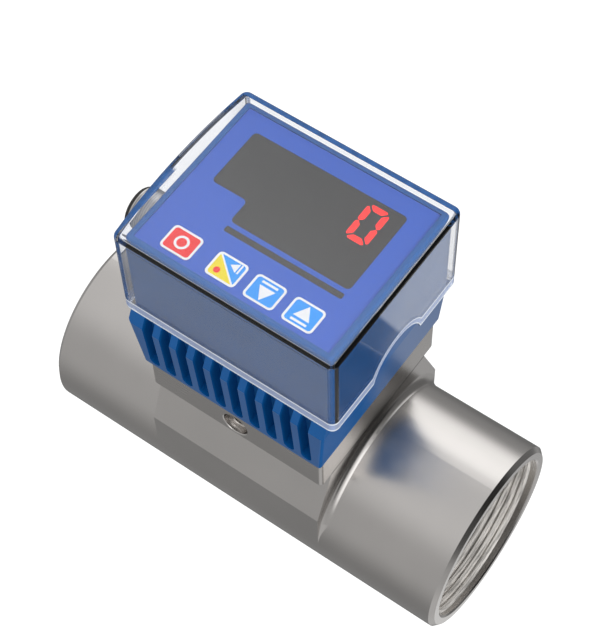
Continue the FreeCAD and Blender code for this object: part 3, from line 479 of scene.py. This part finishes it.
def cover_rim(shader, cover, streak, place, normal, upright):
    """Share and shader of the pale band painted along the foot of the walls and around both arches.

    The band is painted light that stands in for what the walls' foot refracts, with a painted
    highlight along each of its edges.
    """
    low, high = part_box("clear_cover")
    px, py, pz = place
    x, y, _ = normal
    outer = ((px - (low.x + high.x) / 2) * x + py * y).step(0.0, 1 * MM)
    from_middle = (py ** 2 + (pz - MOUNTS["cable_entry"]["pos_m"][2]) ** 2) ** 0.5
    from_arch = (from_middle - cover.arch_radius) * (cover.rim / cover.arch_rim)
    rise = (pz - low.z).smaller(from_arch + abs(x).fade(0.5, 0.9))
    # Painted highlight: a bright line along each edge of the band
    line = cover.rim * 0.16
    upper = rise.step(cover.rim - line * 1.6, cover.rim - line * 1.2)
    upper = upper * rise.fade(cover.rim - line * 0.3, cover.rim)
    highlights = rise.fade(line, line * 1.4).larger(upper)
    band = rise.fade(cover.rim * 0.97, cover.rim)
    rim_paint = shader.surface({
        "Base Color": shader.blend(highlights, cover.rim_colour, cover.highlight_colour),
        "Roughness": 0.35 + streak * 0.1,
    })
    return upright * outer * (band * 0.55).larger(highlights * 0.85), rim_paint


def dress(nodes, material):
    for name in nodes:
        frame["nodes"][name].data.materials[0] = material


def add_piece(name, mesh, body, material):
    """Object from a finished bmesh in the row frame, riding on a body."""
    data = bpy.data.meshes.new(name)
    bmesh.ops.recalc_face_normals(mesh, faces=mesh.faces)
    mesh.to_mesh(data)
    mesh.free()
    piece = bpy.data.objects.new(name, data)
    bpy.context.scene.collection.objects.link(piece)
    data.materials.append(material)
    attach(piece, body)


def bridge(mesh, rings):
    """Faces between each ring of vertices and the next."""
    for low, high in zip(rings, rings[1:]):
        count = len(low)
        for index in range(count):
            after = (index + 1) % count
            mesh.faces.new((low[index], low[after], high[after], high[index]))


def rounded_outline(half_x, half_y, corner, steps=6):
    """Corner points of a rounded rectangle about the origin, in order."""
    points = []
    for turn, (sx, sy) in enumerate(((1, 1), (-1, 1), (-1, -1), (1, -1))):
        for step in range(steps + 1):
            angle = math.pi / 2 * (turn + step / steps)
            points.append((sx * (half_x - corner) + corner * math.cos(angle),
                           sy * (half_y - corner) + corner * math.sin(angle)))
    return points


def circle(radius, steps, middle=(0.0, 0.0)):
    turns = [TURN * step / steps for step in range(steps)]
    return [(middle[0] + radius * math.cos(turn), middle[1] + radius * math.sin(turn))
            for turn in turns]


def in_metres(points):
    return [(x * MM, y * MM) for x, y in points]


def clip_side(outline, normal, offset):
    """Part of a convex outline where normal . point is at least offset."""
    kept = []
    for here, there in zip(outline, outline[1:] + outline[:1]):
        a = normal[0] * here[0] + normal[1] * here[1] - offset
        b = normal[0] * there[0] + normal[1] * there[1] - offset
        if a >= 0:
            kept.append(here)
        if a * b < 0:
            share = a / (a - b)
            kept.append((here[0] + (there[0] - here[0]) * share,
                         here[1] + (there[1] - here[1]) * share))
    return kept


def add_plate(mesh, outline, centre, foot, thickness, soften):
    """Thin plate with a softened top edge, its outline given about a centre."""
    middle = Vector((sum(p[0] for p in outline), sum(p[1] for p in outline))) / len(outline)
    rings = []
    for rise, inset in ((0, 0), (thickness - soften, 0), (thickness, soften / 2)):
        ring = []
        for point in outline:
            out = Vector(point) - middle
            spot = middle + out * (max(out.length - inset, 0) / out.length)
            ring.append(mesh.verts.new((centre[0] + spot.x, centre[1] + spot.y, foot + rise)))
        rings.append(ring)
    bridge(mesh, rings)
    mesh.faces.new(rings[-1])
    mesh.faces.new(list(reversed(rings[0])))


def add_band(mesh, outer, inner, centre, foot, thickness, soften):
    """Thin closed band between two outlines of as many points, its top edges softened."""
    levels = (
        (outer, 0.0, 0.0), (outer, thickness - soften, 0.0), (outer, thickness, soften / 2),
        (inner, thickness, -soften / 2), (inner, thickness - soften, 0.0), (inner, 0.0, 0.0),
    )
    rings = []
    for outline, rise, inset in levels:
        ring = []
        for point in outline:
            out = Vector(point)
            spot = out * (1 - inset / out.length)
            ring.append(mesh.verts.new((centre[0] + spot.x, centre[1] + spot.y, foot + rise)))
        rings.append(ring)
    bridge(mesh, rings + rings[:1])


def key_cap(name):
    """Half size, middle and top of a key's cap, whose flange below is wider by its lap."""
    low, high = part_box(name)
    half = ((high.x - low.x) / 2 - FLANGE_LAP, (high.y - low.y) / 2 - FLANGE_LAP)
    return half, ((low.x + high.x) / 2, (low.y + high.y) / 2), high.z


class SteelSettings(bpy.types.PropertyGroup):
    """Pipe body, collar and screws"""
    colour: FloatVectorProperty(
        name="Steel colour", description="Colour of the satin stainless steel",
        subtype="COLOR", size=3, min=0, max=1, default=(0.532, 0.512, 0.495))
    roughness: FloatProperty(
        name="Body roughness", description="Blur of the pipe body's reflections",
        subtype="FACTOR", min=0, max=1, default=0.24)
    collar_roughness: FloatProperty(
        name="Collar roughness", description="Blur of the collar's reflections",
        subtype="FACTOR", min=0, max=1, default=0.26)
    grain: FloatProperty(
        name="Grain", description="Width of the drawn grain", unit="LENGTH",
        min=0, default=0.35 * MM)


class ThreadSettings(bpy.types.PropertyGroup):
    """Taper pipe thread in both mouths"""
    colour: FloatVectorProperty(
        name="Thread colour", description="Colour of the cut thread",
        subtype="COLOR", size=3, min=0, max=1, default=(0.84, 0.81, 0.77))
    pitch: FloatProperty(
        name="Pitch", description="Distance from turn to turn", unit="LENGTH",
        min=0, default=2.209 * MM)
    height: FloatProperty(
        name="Ridge height", description="Height of a ridge at the mouth", unit="LENGTH",
        min=0, default=0.8 * MM)
    taper: FloatProperty(
        name="Taper", description="Growth of the ridge height for each metre into the mouth",
        min=0, default=1 / 32)
    crest: FloatProperty(
        name="Crest", description="Flat on top of a ridge as a share of the pitch",
        subtype="FACTOR", min=0, max=1, default=0.45)
    steps: IntProperty(
        name="Steps", description="Facets in one turn", min=12, default=72)


class MouldingSettings(bpy.types.PropertyGroup):
    """Blue housing and its front frame"""
    housing_colour: FloatVectorProperty(
        name="Housing colour", description="Colour of the finned housing",
        subtype="COLOR", size=3, min=0, max=1, default=(0.004, 0.098, 0.325))
    bezel_colour: FloatVectorProperty(
        name="Frame colour", description="Colour of the frame around the face",
        subtype="COLOR", size=3, min=0, max=1, default=(0.008, 0.115, 0.39))
    roughness: FloatProperty(
        name="Roughness", description="Blur of the moulding's reflections",
        subtype="FACTOR", min=0, max=1, default=0.38)


class FaceSettings(bpy.types.PropertyGroup):
    """Printed film, dark windows and the lit digit"""
    film_colour: FloatVectorProperty(
        name="Film colour", description="Colour of the printed film",
        subtype="COLOR", size=3, min=0, max=1, default=(0.035, 0.127, 0.60))
    film_roughness: FloatProperty(
        name="Film roughness", description="Blur of the film's reflections",
        subtype="FACTOR", min=0, max=1, default=0.45)
    window_colour: FloatVectorProperty(
        name="Window colour", description="Colour of the smoked windows",
        subtype="COLOR", size=3, min=0, max=1, default=(0.048, 0.048, 0.048))
    digit_colour: FloatVectorProperty(
        name="Digit colour", description="Colour of a lit segment",
        subtype="COLOR", size=3, min=0, max=1, default=(1.0, 0.01, 0.008))
    digit_strength: FloatProperty(
        name="Digit light", description="Light given off by a lit segment", min=0, default=0.9)
    digit_centre: FloatVectorProperty(
        name="Digit place", description="Middle of the lit digit along and across the face",
        subtype="TRANSLATION", unit="LENGTH", size=2, default=(96.8 * MM, 13.2 * MM))
    digit_half: FloatVectorProperty(
        name="Digit half size", description="Half width and half height of the digit",
        subtype="TRANSLATION", unit="LENGTH", size=2, default=(3.8 * MM, 6.8 * MM))
    digit_stroke: FloatProperty(
        name="Stroke", description="Width of a segment", unit="LENGTH", min=0, default=1.85 * MM)
    digit_gap: FloatProperty(
        name="Segment gap", description="Gap between neighbouring segments", unit="LENGTH",
        min=0, default=0.55 * MM)


class KeySettings(bpy.types.PropertyGroup):
    """Colours and printed marks of the four keys"""
    red: FloatVectorProperty(
        name="Red", description="Colour of the red key and dot",
        subtype="COLOR", size=3, min=0, max=1, default=(1.0, 0.025, 0.025))
    yellow: FloatVectorProperty(
        name="Yellow", description="Colour of the split key's near half",
        subtype="COLOR", size=3, min=0, max=1, default=(1.0, 0.80, 0.012))
    blue: FloatVectorProperty(
        name="Blue", description="Colour of the blue keys",
        subtype="COLOR", size=3, min=0, max=1, default=(0.015, 0.36, 1.0))
    ink: FloatVectorProperty(
        name="White", description="Colour of the white marks",
        subtype="COLOR", size=3, min=0, max=1, default=(0.98, 0.98, 0.98))
    roughness: FloatProperty(
        name="Roughness", description="Blur of the keys' reflections",
        subtype="FACTOR", min=0, max=1, default=0.4)
    border: FloatProperty(
        name="Border", description="Width of the white line around a key", unit="LENGTH",
        min=0, default=0.62 * MM)
    corner: FloatProperty(
        name="Corner", description="Corner radius of a key", unit="LENGTH", min=0, default=1.4 * MM)
    lap: FloatProperty(
        name="Lap", description="How far the border reaches over the gap around a key",
        unit="LENGTH", min=0, default=0.08 * MM)
    thickness: FloatProperty(
        name="Mark thickness", description="Thickness of the marks on a key", unit="LENGTH",
        min=0, default=0.08 * MM)


class CoverSettings(bpy.types.PropertyGroup):
    """Clear cover over the head"""
    tint: FloatVectorProperty(
        name="Tint", description="Colour of the clear plastic",
        subtype="COLOR", size=3, min=0, max=1, default=(0.985, 0.99, 1.0))
    ior: FloatProperty(
        name="Refraction", description="Index of refraction of the clear plastic",
        min=1, default=1.49)
    gloss: FloatProperty(
        name="Gloss", description="Strength of the clear plastic's reflections",
        subtype="FACTOR", min=0, max=1, default=0.5)
    # Painted light on the cover: a pale band along the foot of the walls, with a painted highlight
    # along each edge
    rim: FloatProperty(
        name="Rim", description="Height of the frosted band along the foot of the walls",
        unit="LENGTH", min=0, default=4.4 * MM)
    arch_rim: FloatProperty(
        name="Arch rim", description="Width of the frosted band around the arches",
        unit="LENGTH", min=0, default=2.2 * MM)
    arch_radius: FloatProperty(
        name="Arch radius", description="Radius of the arches about the gland",
        unit="LENGTH", min=0, default=12.8 * MM)
    rim_colour: FloatVectorProperty(
        name="Rim colour", description="Colour of the frosted band",
        subtype="COLOR", size=3, min=0, max=1, default=(0.55, 0.65, 0.94))
    highlight_colour: FloatVectorProperty(
        name="Line colour", description="Colour of the lines along the frosted band",
        subtype="COLOR", size=3, min=0, max=1, default=(0.86, 0.92, 1.0))
    # Painted refraction: the housing's blue painted onto the cover's round far edges
    painted_edge_colour: FloatVectorProperty(
        name="Edge colour", description="Colour that the round far edges pick up from the housing",
        subtype="COLOR", size=3, min=0, max=1, default=(0.03, 0.125, 0.37))


class StageSettings(bpy.types.PropertyGroup):
    """Floor, light and camera"""
    floor_colour: FloatVectorProperty(
        name="Floor colour", description="Colour of the plain floor and backdrop",
        subtype="COLOR", size=3, min=0, max=1, default=(1.0, 1.0, 1.0))
    floor_size: FloatProperty(
        name="Floor size", description="Side of the square floor", unit="LENGTH",
        min=0, default=30.0)
    floor_gap: FloatProperty(
        name="Floor gap", description="Gap between the floor and the part", unit="LENGTH",
        min=0, default=0.3 * MM)
    fill: FloatProperty(
        name="Fill light", description="Power of the soft light on the right", unit="POWER",
        min=0, default=3.2)
    camera_place: FloatVectorProperty(
        name="Camera place", description="Where the camera stands",
        subtype="TRANSLATION", unit="LENGTH", size=3, default=(0.26150, -0.23516, 0.54910))
    camera_heading: FloatProperty(
        name="Heading",
        description="Turn of the camera about the upright axis, from looking along +Y",
        subtype="ANGLE", default=math.radians(37.496))
    camera_dip: FloatProperty(
        name="Dip", description="How far the camera looks down",
        subtype="ANGLE", default=math.radians(58.436))
    camera_roll: FloatProperty(
        name="Roll", description="Turn of the camera about its own line of sight",
        subtype="ANGLE", default=math.radians(-2.271))
    lens: FloatProperty(
        name="Lens", description="Focal length in millimetres on a 36 mm sensor",
        min=1, default=101.88)


class FlowMeterSettings(bpy.types.PropertyGroup):
    """Everything a user would change on the flow meter"""
    steel: PointerProperty(type=SteelSettings)
    thread: PointerProperty(type=ThreadSettings)
    moulding: PointerProperty(type=MouldingSettings)
    face: PointerProperty(type=FaceSettings)
    keys: PointerProperty(type=KeySettings)
    cover: PointerProperty(type=CoverSettings)
    stage: PointerProperty(type=StageSettings)


class FLOWMETER_OT_steel(bpy.types.Operator):
    """Give the pipe body, collar, screws, nut and pin their steel finishes"""
    bl_idname = "flowmeter.steel"
    bl_label = "Finish Steel Pieces"

    def execute(self, context):
        steel = context.scene.flow_meter.steel
        body = steel_finish("satin_cast_steel", steel.colour, steel.roughness, steel.grain,
                            turned=True)
        collar = steel_finish("milled_collar_steel", steel.colour, steel.collar_roughness,
                              steel.grain / 2, seam=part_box("lock_collar")[0].z)
        bright = steel_finish("bright_screw_steel", shade(steel.colour, 1.6),
                              steel.collar_roughness, steel.grain / 3)
        dress(["flow_body"], body)
        dress(["lock_collar"], collar)
        dress(["collar_screws", "set_screw", "stem_nut", "bezel_screws", "display_screws",
               "power_screws", "rotor_pin"], bright)
        return {"FINISHED"}


class FLOWMETER_OT_threads(bpy.types.Operator):
    """Cut the taper pipe thread's ridges into both mouths"""
    bl_idname = "flowmeter.threads"
    bl_label = "Add Pipe Threads"

    def execute(self, context):
        thread = context.scene.flow_meter.thread
        material = thread_finish("cut_thread_steel", thread.colour)
        for name in ("inlet_thread", "outlet_thread"):
            self.add_ridge(thread, name, material)
        return {"FINISHED"}

    def add_ridge(self, thread, name, material):
        """One helical ridge, faded out over half a turn at both ends."""
        mount = MOUNTS[name]
        mouth = Vector(mount["pos_m"])
        inward = -Vector(mount["axis"])
        wall = mount["dims"]["r_mm"] * MM
        length = mount["dims"]["length_mm"] * MM - thread.pitch
        count = int(length / thread.pitch * thread.steps)
        half_turn = thread.steps / 2
        mesh = bmesh.new()
        rows = []
        for index in range(count + 1):
            angle = TURN * index / thread.steps
            depth = thread.pitch * (0.5 + index / thread.steps)
            fade = min(1, index / half_turn, (count - index) / half_turn)
            width = thread.pitch * max(fade, LEAST_WIDTH)
            half_root = width * RIDGE_ROOT
            half_crest = width * thread.crest / 2
            root = wall + RIDGE_SINK
            top = wall - (thread.height + depth * thread.taper) * max(fade, LEAST_RISE)
            out = Vector((0, math.cos(angle), math.sin(angle)))
            profile = ((-half_root, root), (-half_crest, top), (half_crest, top), (half_root, root))
            rows.append([mesh.verts.new(mouth + inward * (depth + along) + out * radius)
                         for along, radius in profile])
        bridge(mesh, rows)
        mesh.faces.new(rows[0])
        mesh.faces.new(list(reversed(rows[-1])))
        add_piece(name + "_ridge", mesh, "meter", material)


class FLOWMETER_OT_sensor(bpy.types.Operator):
    """Finish the stem, its seals and the rotor that hangs in the stream"""
    bl_idname = "flowmeter.sensor"
    bl_label = "Finish Stem and Rotor"

    def execute(self, context):
        dress(["sensor_stem"], moulded_finish("stem_resin", (0.80, 0.78, 0.72), 0.42))
        dress(["paddle_wheel"], moulded_finish("rotor_resin", (0.035, 0.036, 0.038), 0.38))
        dress(["rotor_bushes"], moulded_finish("bush_resin", (0.80, 0.78, 0.72), 0.3))
        dress(["rotor_magnets"],
              moulded_finish("magnet_plating", (0.42, 0.42, 0.43), 0.22, metallic=1.0))
        dress(["upper_o_ring", "lower_o_ring", "stem_gasket", "case_gasket"],
              moulded_finish("seal_rubber_black", (0.018, 0.018, 0.019), 0.62,
                             0.2 * MM, RUBBER_DEPTH))
        dress(["hall_sensor"], moulded_finish("potting_black", (0.02, 0.02, 0.021), 0.35))
        dress(["sensor_lead"], moulded_finish("lead_jacket", (0.03, 0.03, 0.032), 0.5))
        return {"FINISHED"}


class FLOWMETER_OT_housing(bpy.types.Operator):
    """Finish the finned housing and its front frame"""
    bl_idname = "flowmeter.housing"
    bl_label = "Finish Housing"

    def execute(self, context):
        moulding = context.scene.flow_meter.moulding
        dress(["housing"], moulded_finish("blue_housing", moulding.housing_colour,
                                          moulding.roughness, shine=0.02, front=0.7))
        dress(["front_bezel"], moulded_finish("blue_frame", moulding.bezel_colour,
                                              moulding.roughness, shine=0.08))
        return {"FINISHED"}


class FLOWMETER_OT_electronics(bpy.types.Operator):
    """Finish the boards and what stands on them"""
    bl_idname = "flowmeter.electronics"
    bl_label = "Finish Electronics"

    def execute(self, context):
        dress(["display_board", "power_board"],
              board_finish("solder_mask_green", (0.01, 0.10, 0.04)))
        dress(["display_module", "tact_switches"],
              moulded_finish("module_black", (0.025, 0.025, 0.027), 0.4))
        dress(["alarm_lamps"], moulded_finish("lamp_lens", (0.55, 0.53, 0.50), 0.3))
        dress(["terminal_block"], moulded_finish("terminal_green", (0.03, 0.28, 0.09), 0.42))
        dress(["ribbon_cable"], ribbon_finish("ribbon_grey", (0.35, 0.36, 0.38)))
        return {"FINISHED"}


class FLOWMETER_OT_face(bpy.types.Operator):
    """Finish the printed film and the windows, and light one digit"""
    bl_idname = "flowmeter.face"
    bl_label = "Finish Face and Digit"

    def execute(self, context):
        face = context.scene.flow_meter.face
        dress(["overlay"], film_finish("blue_film", face.film_colour, face.film_roughness))
        dress(["display_window", "alarm_window"],
              film_finish("smoked_film", face.window_colour, 0.3))
        mesh = bmesh.new()
        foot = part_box("display_window")[1].z - DIGIT_SINK
        for outline in self.zero_segments(face):
            add_plate(mesh, outline, face.digit_centre, foot, DIGIT_THICKNESS, SOFT_EDGE)
        lit = lit_finish("lit_segment", face.digit_colour, face.digit_strength)
        add_piece("lit_zero", mesh, "meter", lit)
        return {"FINISHED"}

    def zero_segments(self, face):
        """Six mitred bars of a seven-bar zero, about its middle."""
        w, h = face.digit_half
        s = face.digit_stroke
        d = face.digit_gap / 2
        cut = 0.8 * s
        nib = 0.38 * s
        top = [(-w + cut, h), (-w + cut / 2 + d, h - cut / 2 + d), (-w + s + 2 * d, h - s),
               (w - s - 2 * d, h - s), (w - cut / 2 - d, h - cut / 2 + d), (w - cut, h)]
        side = [(w, h - cut), (w - cut / 2 + d, h - cut / 2 - d), (w - s, h - s - 2 * d),
                (w - s, s - nib), (w - nib, d / 3), (w, nib)]
        bars = [top, [(x, -y) for x, y in top]]
        for sx in (-1, 1):
            for sy in (-1, 1):
                bars.append([(sx * x, sy * y) for x, y in side])
        return bars


class FLOWMETER_OT_keys(bpy.types.Operator):
    """Colour the four keys and print their borders and marks"""
    bl_idname = "flowmeter.keys"
    bl_label = "Finish Keys"

    def execute(self, context):
        keys = context.scene.flow_meter.keys
        red = film_finish("red_ink", keys.red, keys.roughness)
        yellow = film_finish("yellow_ink", keys.yellow, keys.roughness)
        blue = film_finish("light_blue_ink", keys.blue, keys.roughness)
        white = film_finish("white_ink", keys.ink, keys.roughness)
        dress(["set_key"], red)
        dress(["shift_key", "down_key", "up_key"], blue)
        for name in KEY_SLOTS:
            half = key_cap(name)[0]
            outer = rounded_outline(half[0] + keys.lap, half[1] + keys.lap, keys.corner + keys.lap)
            inner = self.inner_outline(keys, half, keys.border)
            self.add_band_mark(keys, name, "border", white, outer, inner)
        outer, inner = [in_metres(circle(radius, RING_STEPS)) for radius in RING_RADII]
        self.add_band_mark(keys, "set_key", "ring", white, outer, inner)
        near, line = self.split_outlines(keys, key_cap("shift_key")[0])
        dot = in_metres(circle(DOT_RADIUS, DOT_STEPS, DOT_MIDDLE))
        marks = (
            ("shift_key", "near_half", yellow, [near], 0.6),
            ("shift_key", "split_line", white, [line], 0.9),
            ("shift_key", "dot", red, [dot], 1),
            ("shift_key", "left_arrow", white, map(in_metres, LEFT_ARROW), 1),
            ("down_key", "down_arrow", white, map(in_metres, DOWN_ARROW), 1),
            ("up_key", "up_arrow", white, map(in_metres, UP_ARROW), 1),
        )
        for name, label, ink, outlines, share in marks:
            _, centre, top = key_cap(name)
            mesh = bmesh.new()
            for outline in outlines:
                add_plate(mesh, outline, centre, top, keys.thickness * share, FINE_EDGE)
            add_piece(f"{name}_{label}", mesh, name, ink)
        return {"FINISHED"}

    def add_band_mark(self, keys, name, label, ink, outer, inner):
        _, centre, top = key_cap(name)
        mesh = bmesh.new()
        add_band(mesh, outer, inner, centre, top, keys.thickness, SOFT_EDGE)
        add_piece(f"{name}_{label}", mesh, name, ink)

    def inner_outline(self, keys, half, inset):
        corner = keys.corner - keys.border * INNER_CORNER
        return rounded_outline(half[0] - inset, half[1] - inset, corner)

    def split_outlines(self, keys, half):
        """Outlines of the half at the left front, and of the line that parts it from the rest."""
        area = self.inner_outline(keys, half, keys.border - PRINT_LAP)
        slope = Vector((half[1], half[0])).normalized()
        near = clip_side(area, -slope, SPLIT_GAP)
        line = clip_side(clip_side(area, slope, -SPLIT_HALF), -slope, -SPLIT_HALF)
        return near, line


class FLOWMETER_OT_cover(bpy.types.Operator):
    """Make the cover over the head clear"""
    bl_idname = "flowmeter.cover"
    bl_label = "Finish Clear Cover"

    def execute(self, context):
        cover = context.scene.flow_meter.cover
        dress(["clear_cover"], clear_finish("clear_plastic_hood", cover))
        frame["nodes"]["clear_cover"].visible_shadow = False
        return {"FINISHED"}


class FLOWMETER_OT_gland(bpy.types.Operator):
    """Finish the cable gland"""
    bl_idname = "flowmeter.gland"
    bl_label = "Finish Cable Gland"

    def execute(self, context):
        plating = ringed_finish("gland_plating", (0.5, 0.49, 0.48), 0.32, GLAND_RING)
        dress(["gland_body", "gland_nut", "gland_locknut"], plating)
        rubber = moulded_finish("gland_rubber", (0.03, 0.03, 0.03), 0.6, 0.25 * MM, RUBBER_DEPTH)
        dress(["gland_seal", "gland_washer"], rubber)
        return {"FINISHED"}


class FLOWMETER_OT_stage(bpy.types.Operator):
    """Set the pale floor, the soft studio light and the camera"""
    bl_idname = "flowmeter.stage"
    bl_label = "Set Stage"

    def execute(self, context):
        scene = context.scene
        stage = scene.flow_meter.stage
        scene.view_settings.view_transform = "Standard"
        self.add_floor(scene, stage)
        self.set_sky(scene, stage)
        self.add_fill(scene, stage)
        self.add_camera(scene, stage)
        return {"FINISHED"}

    def add_floor(self, scene, stage):
        """Plain pale floor that shows from above and neither shades nor tints the part."""
        mesh = bmesh.new()
        level = Matrix.Translation((MIDDLE.x, MIDDLE.y, CAD_BOX[0].z - stage.floor_gap))
        bmesh.ops.create_grid(mesh, x_segments=8, y_segments=8, size=stage.floor_size / 2,
                              matrix=level)
        data = bpy.data.meshes.new("floor")
        mesh.to_mesh(data)
        mesh.free()
        floor = bpy.data.objects.new("floor", data)
        scene.collection.objects.link(floor)
        material, shader = new_finish("pale_floor")
        inputs = {"Color": (*stage.floor_colour, 1.0), "Strength": FLOOR_GLOW}
        glow = shader.node("ShaderNodeEmission", {}, inputs)
        bare = shader.node("ShaderNodeBsdfTransparent")
        below = shader.node("ShaderNodeNewGeometry", output="Backfacing")
        shader.output(shader.mix(below.larger(1 - seen_straight(shader)), glow, bare))
        material.cycles.emission_sampling = "NONE"
        data.materials.append(material)
        floor.visible_diffuse = False
        floor.visible_glossy = False
        floor.visible_shadow = False

    def set_sky(self, scene, stage):
        """Soft dome with light boxes and dark sides around the part, and a plain backdrop."""
        world = bpy.data.worlds.new("studio")
        world.use_nodes = True
        scene.world = world
        sky = Shader(world.node_tree)
        x, y, z = sky.split(sky.node("ShaderNodeTexCoord", output="Generated"))
        dome = 0.26 + 0.25 * z.step(-0.9, -0.25) + 0.28 * z.step(0.2, 0.8)
        behind = 0.2 * y.step(-0.1, 0.6) * z.fade(-0.15, 0.15)
        # Wide box up behind the part, a glow low on the right and a tall box at the front right
        box = 0.85 * y.step(0.2, 0.62) * z.step(0.0, 0.3) * z.fade(0.72, 0.97) * x.fade(0.0, 0.35)
        low = 0.45 * y.step(0.0, 0.25) * z.fade(-0.92, -0.87)
        right = x.step(-0.1, 0.2) * (0.32 - 0.32 * z.step(-0.75, -0.35) + low)
        side = x.step(0.05, 0.25) * (1.1 - 0.85 * x.step(0.35, 0.6))
        side = side * (-y).step(-0.05, 0.3) * z.step(-0.1, 0.3)
        # Dark to the right behind the part, and straight to the right
        dark = 0.6 * x.step(-0.05, 0.25) * y.step(0.0, 0.35) * z.step(-0.7, -0.4)
        shadow = 1 - 0.88 * x.step(0.7, 0.82) * z.step(-0.25, 0.05)
        soft = 1.12 * shadow * (dome - behind + box + right + side - dark).larger(0.17)
        # The polished cover mirrors an even ceiling and one sharp panel low on the right
        panel = 0.55 * x.step(0.0, 0.2) * y.step(0.441, 0.444) * z.fade(-0.7, -0.5)
        ceiling = z.step(0.3, 0.7) * (1.27 - 0.45 * y.step(0.4, 0.52))
        sharp = 0.13 + 0.3 * (-y).step(0.2, 0.4) + ceiling + panel
        light = soft + seen_in_cover(sky) * (sharp - soft)
        lit = sky.node("ShaderNodeCombineColor", {}, {0: light, 1: light, 2: light})
        colour = sky.blend(seen_straight(sky), lit, tuple(stage.floor_colour))
        background = sky.node("ShaderNodeBackground", {}, {"Color": colour})
        sky.node("ShaderNodeOutputWorld", {}, {"Surface": background})

    def add_fill(self, scene, stage):
        """Soft light box on the right for the mouldings, which steel and cover don't mirror."""
        data = bpy.data.lights.new("right_fill", "AREA")
        data.size = FILL_SIZE
        data.energy = stage.fill
        fill = bpy.data.objects.new("right_fill", data)
        aim = (-FILL_OFFSET).to_track_quat("-Z", "Y").to_matrix().to_4x4()
        target = Vector((MIDDLE.x, MIDDLE.y, CAD_BOX[1].z))
        fill.matrix_world = Matrix.Translation(target + FILL_OFFSET) @ aim
        fill.visible_glossy = False
        fill.visible_transmission = False
        scene.collection.objects.link(fill)

    def add_camera(self, scene, stage):
        heading, dip, roll = stage.camera_heading, stage.camera_dip, stage.camera_roll
        forward = Vector((-math.sin(heading) * math.cos(dip), math.cos(heading) * math.cos(dip),
                          -math.sin(dip)))
        level = Vector((math.cos(heading), math.sin(heading), 0))
        upright = level.cross(forward)
        right = level * math.cos(roll) + upright * math.sin(roll)
        up = upright * math.cos(roll) - level * math.sin(roll)
        data = bpy.data.cameras.new("camera")
        data.lens = stage.lens
        data.sensor_width = SENSOR_WIDTH
        data.clip_start = 0.01
        data.clip_end = 100.0
        camera = bpy.data.objects.new("camera", data)
        turn = Matrix((right, up, -forward)).transposed().to_4x4()
        camera.matrix_world = Matrix.Translation(stage.camera_place) @ turn
        scene.collection.objects.link(camera)
        scene.camera = camera


class FLOWMETER_PT_panel(bpy.types.Panel):
    """Buttons for each group of pieces, with the sizes and colours below them"""
    bl_idname = "FLOWMETER_PT_panel"
    bl_label = "Flow Meter"
    bl_space_type = "VIEW_3D"
    bl_region_type = "UI"
    bl_category = "Flow Meter"

    def draw(self, context):
        settings = context.scene.flow_meter
        for operator in OPERATORS:
            self.layout.operator(operator.bl_idname)
        for group in FlowMeterSettings.__annotations__:
            box = self.layout.box()
            values = getattr(settings, group)
            for name in values.__annotations__:
                box.prop(values, name)


OPERATORS = (
    FLOWMETER_OT_steel, FLOWMETER_OT_threads, FLOWMETER_OT_sensor, FLOWMETER_OT_housing,
    FLOWMETER_OT_electronics, FLOWMETER_OT_face, FLOWMETER_OT_keys, FLOWMETER_OT_cover,
    FLOWMETER_OT_gland, FLOWMETER_OT_stage,
)
CLASSES = (
    SteelSettings, ThreadSettings, MouldingSettings, FaceSettings, KeySettings, CoverSettings,
    StageSettings, FlowMeterSettings, *OPERATORS, FLOWMETER_PT_panel,
)


def register():
    for cls in CLASSES:
        bpy.utils.register_class(cls)
    bpy.types.Scene.flow_meter = PointerProperty(type=FlowMeterSettings)


def unregister():
    del bpy.types.Scene.flow_meter
    for cls in reversed(CLASSES):
        bpy.utils.unregister_class(cls)


def main():
    register()
    bpy.ops.flowmeter.steel()
    bpy.ops.flowmeter.threads()
    bpy.ops.flowmeter.sensor()
    bpy.ops.flowmeter.housing()
    bpy.ops.flowmeter.electronics()
    bpy.ops.flowmeter.face()
    bpy.ops.flowmeter.keys()
    bpy.ops.flowmeter.cover()
    bpy.ops.flowmeter.gland()
    bpy.ops.flowmeter.stage()


if __name__ == "__main__":
    main()
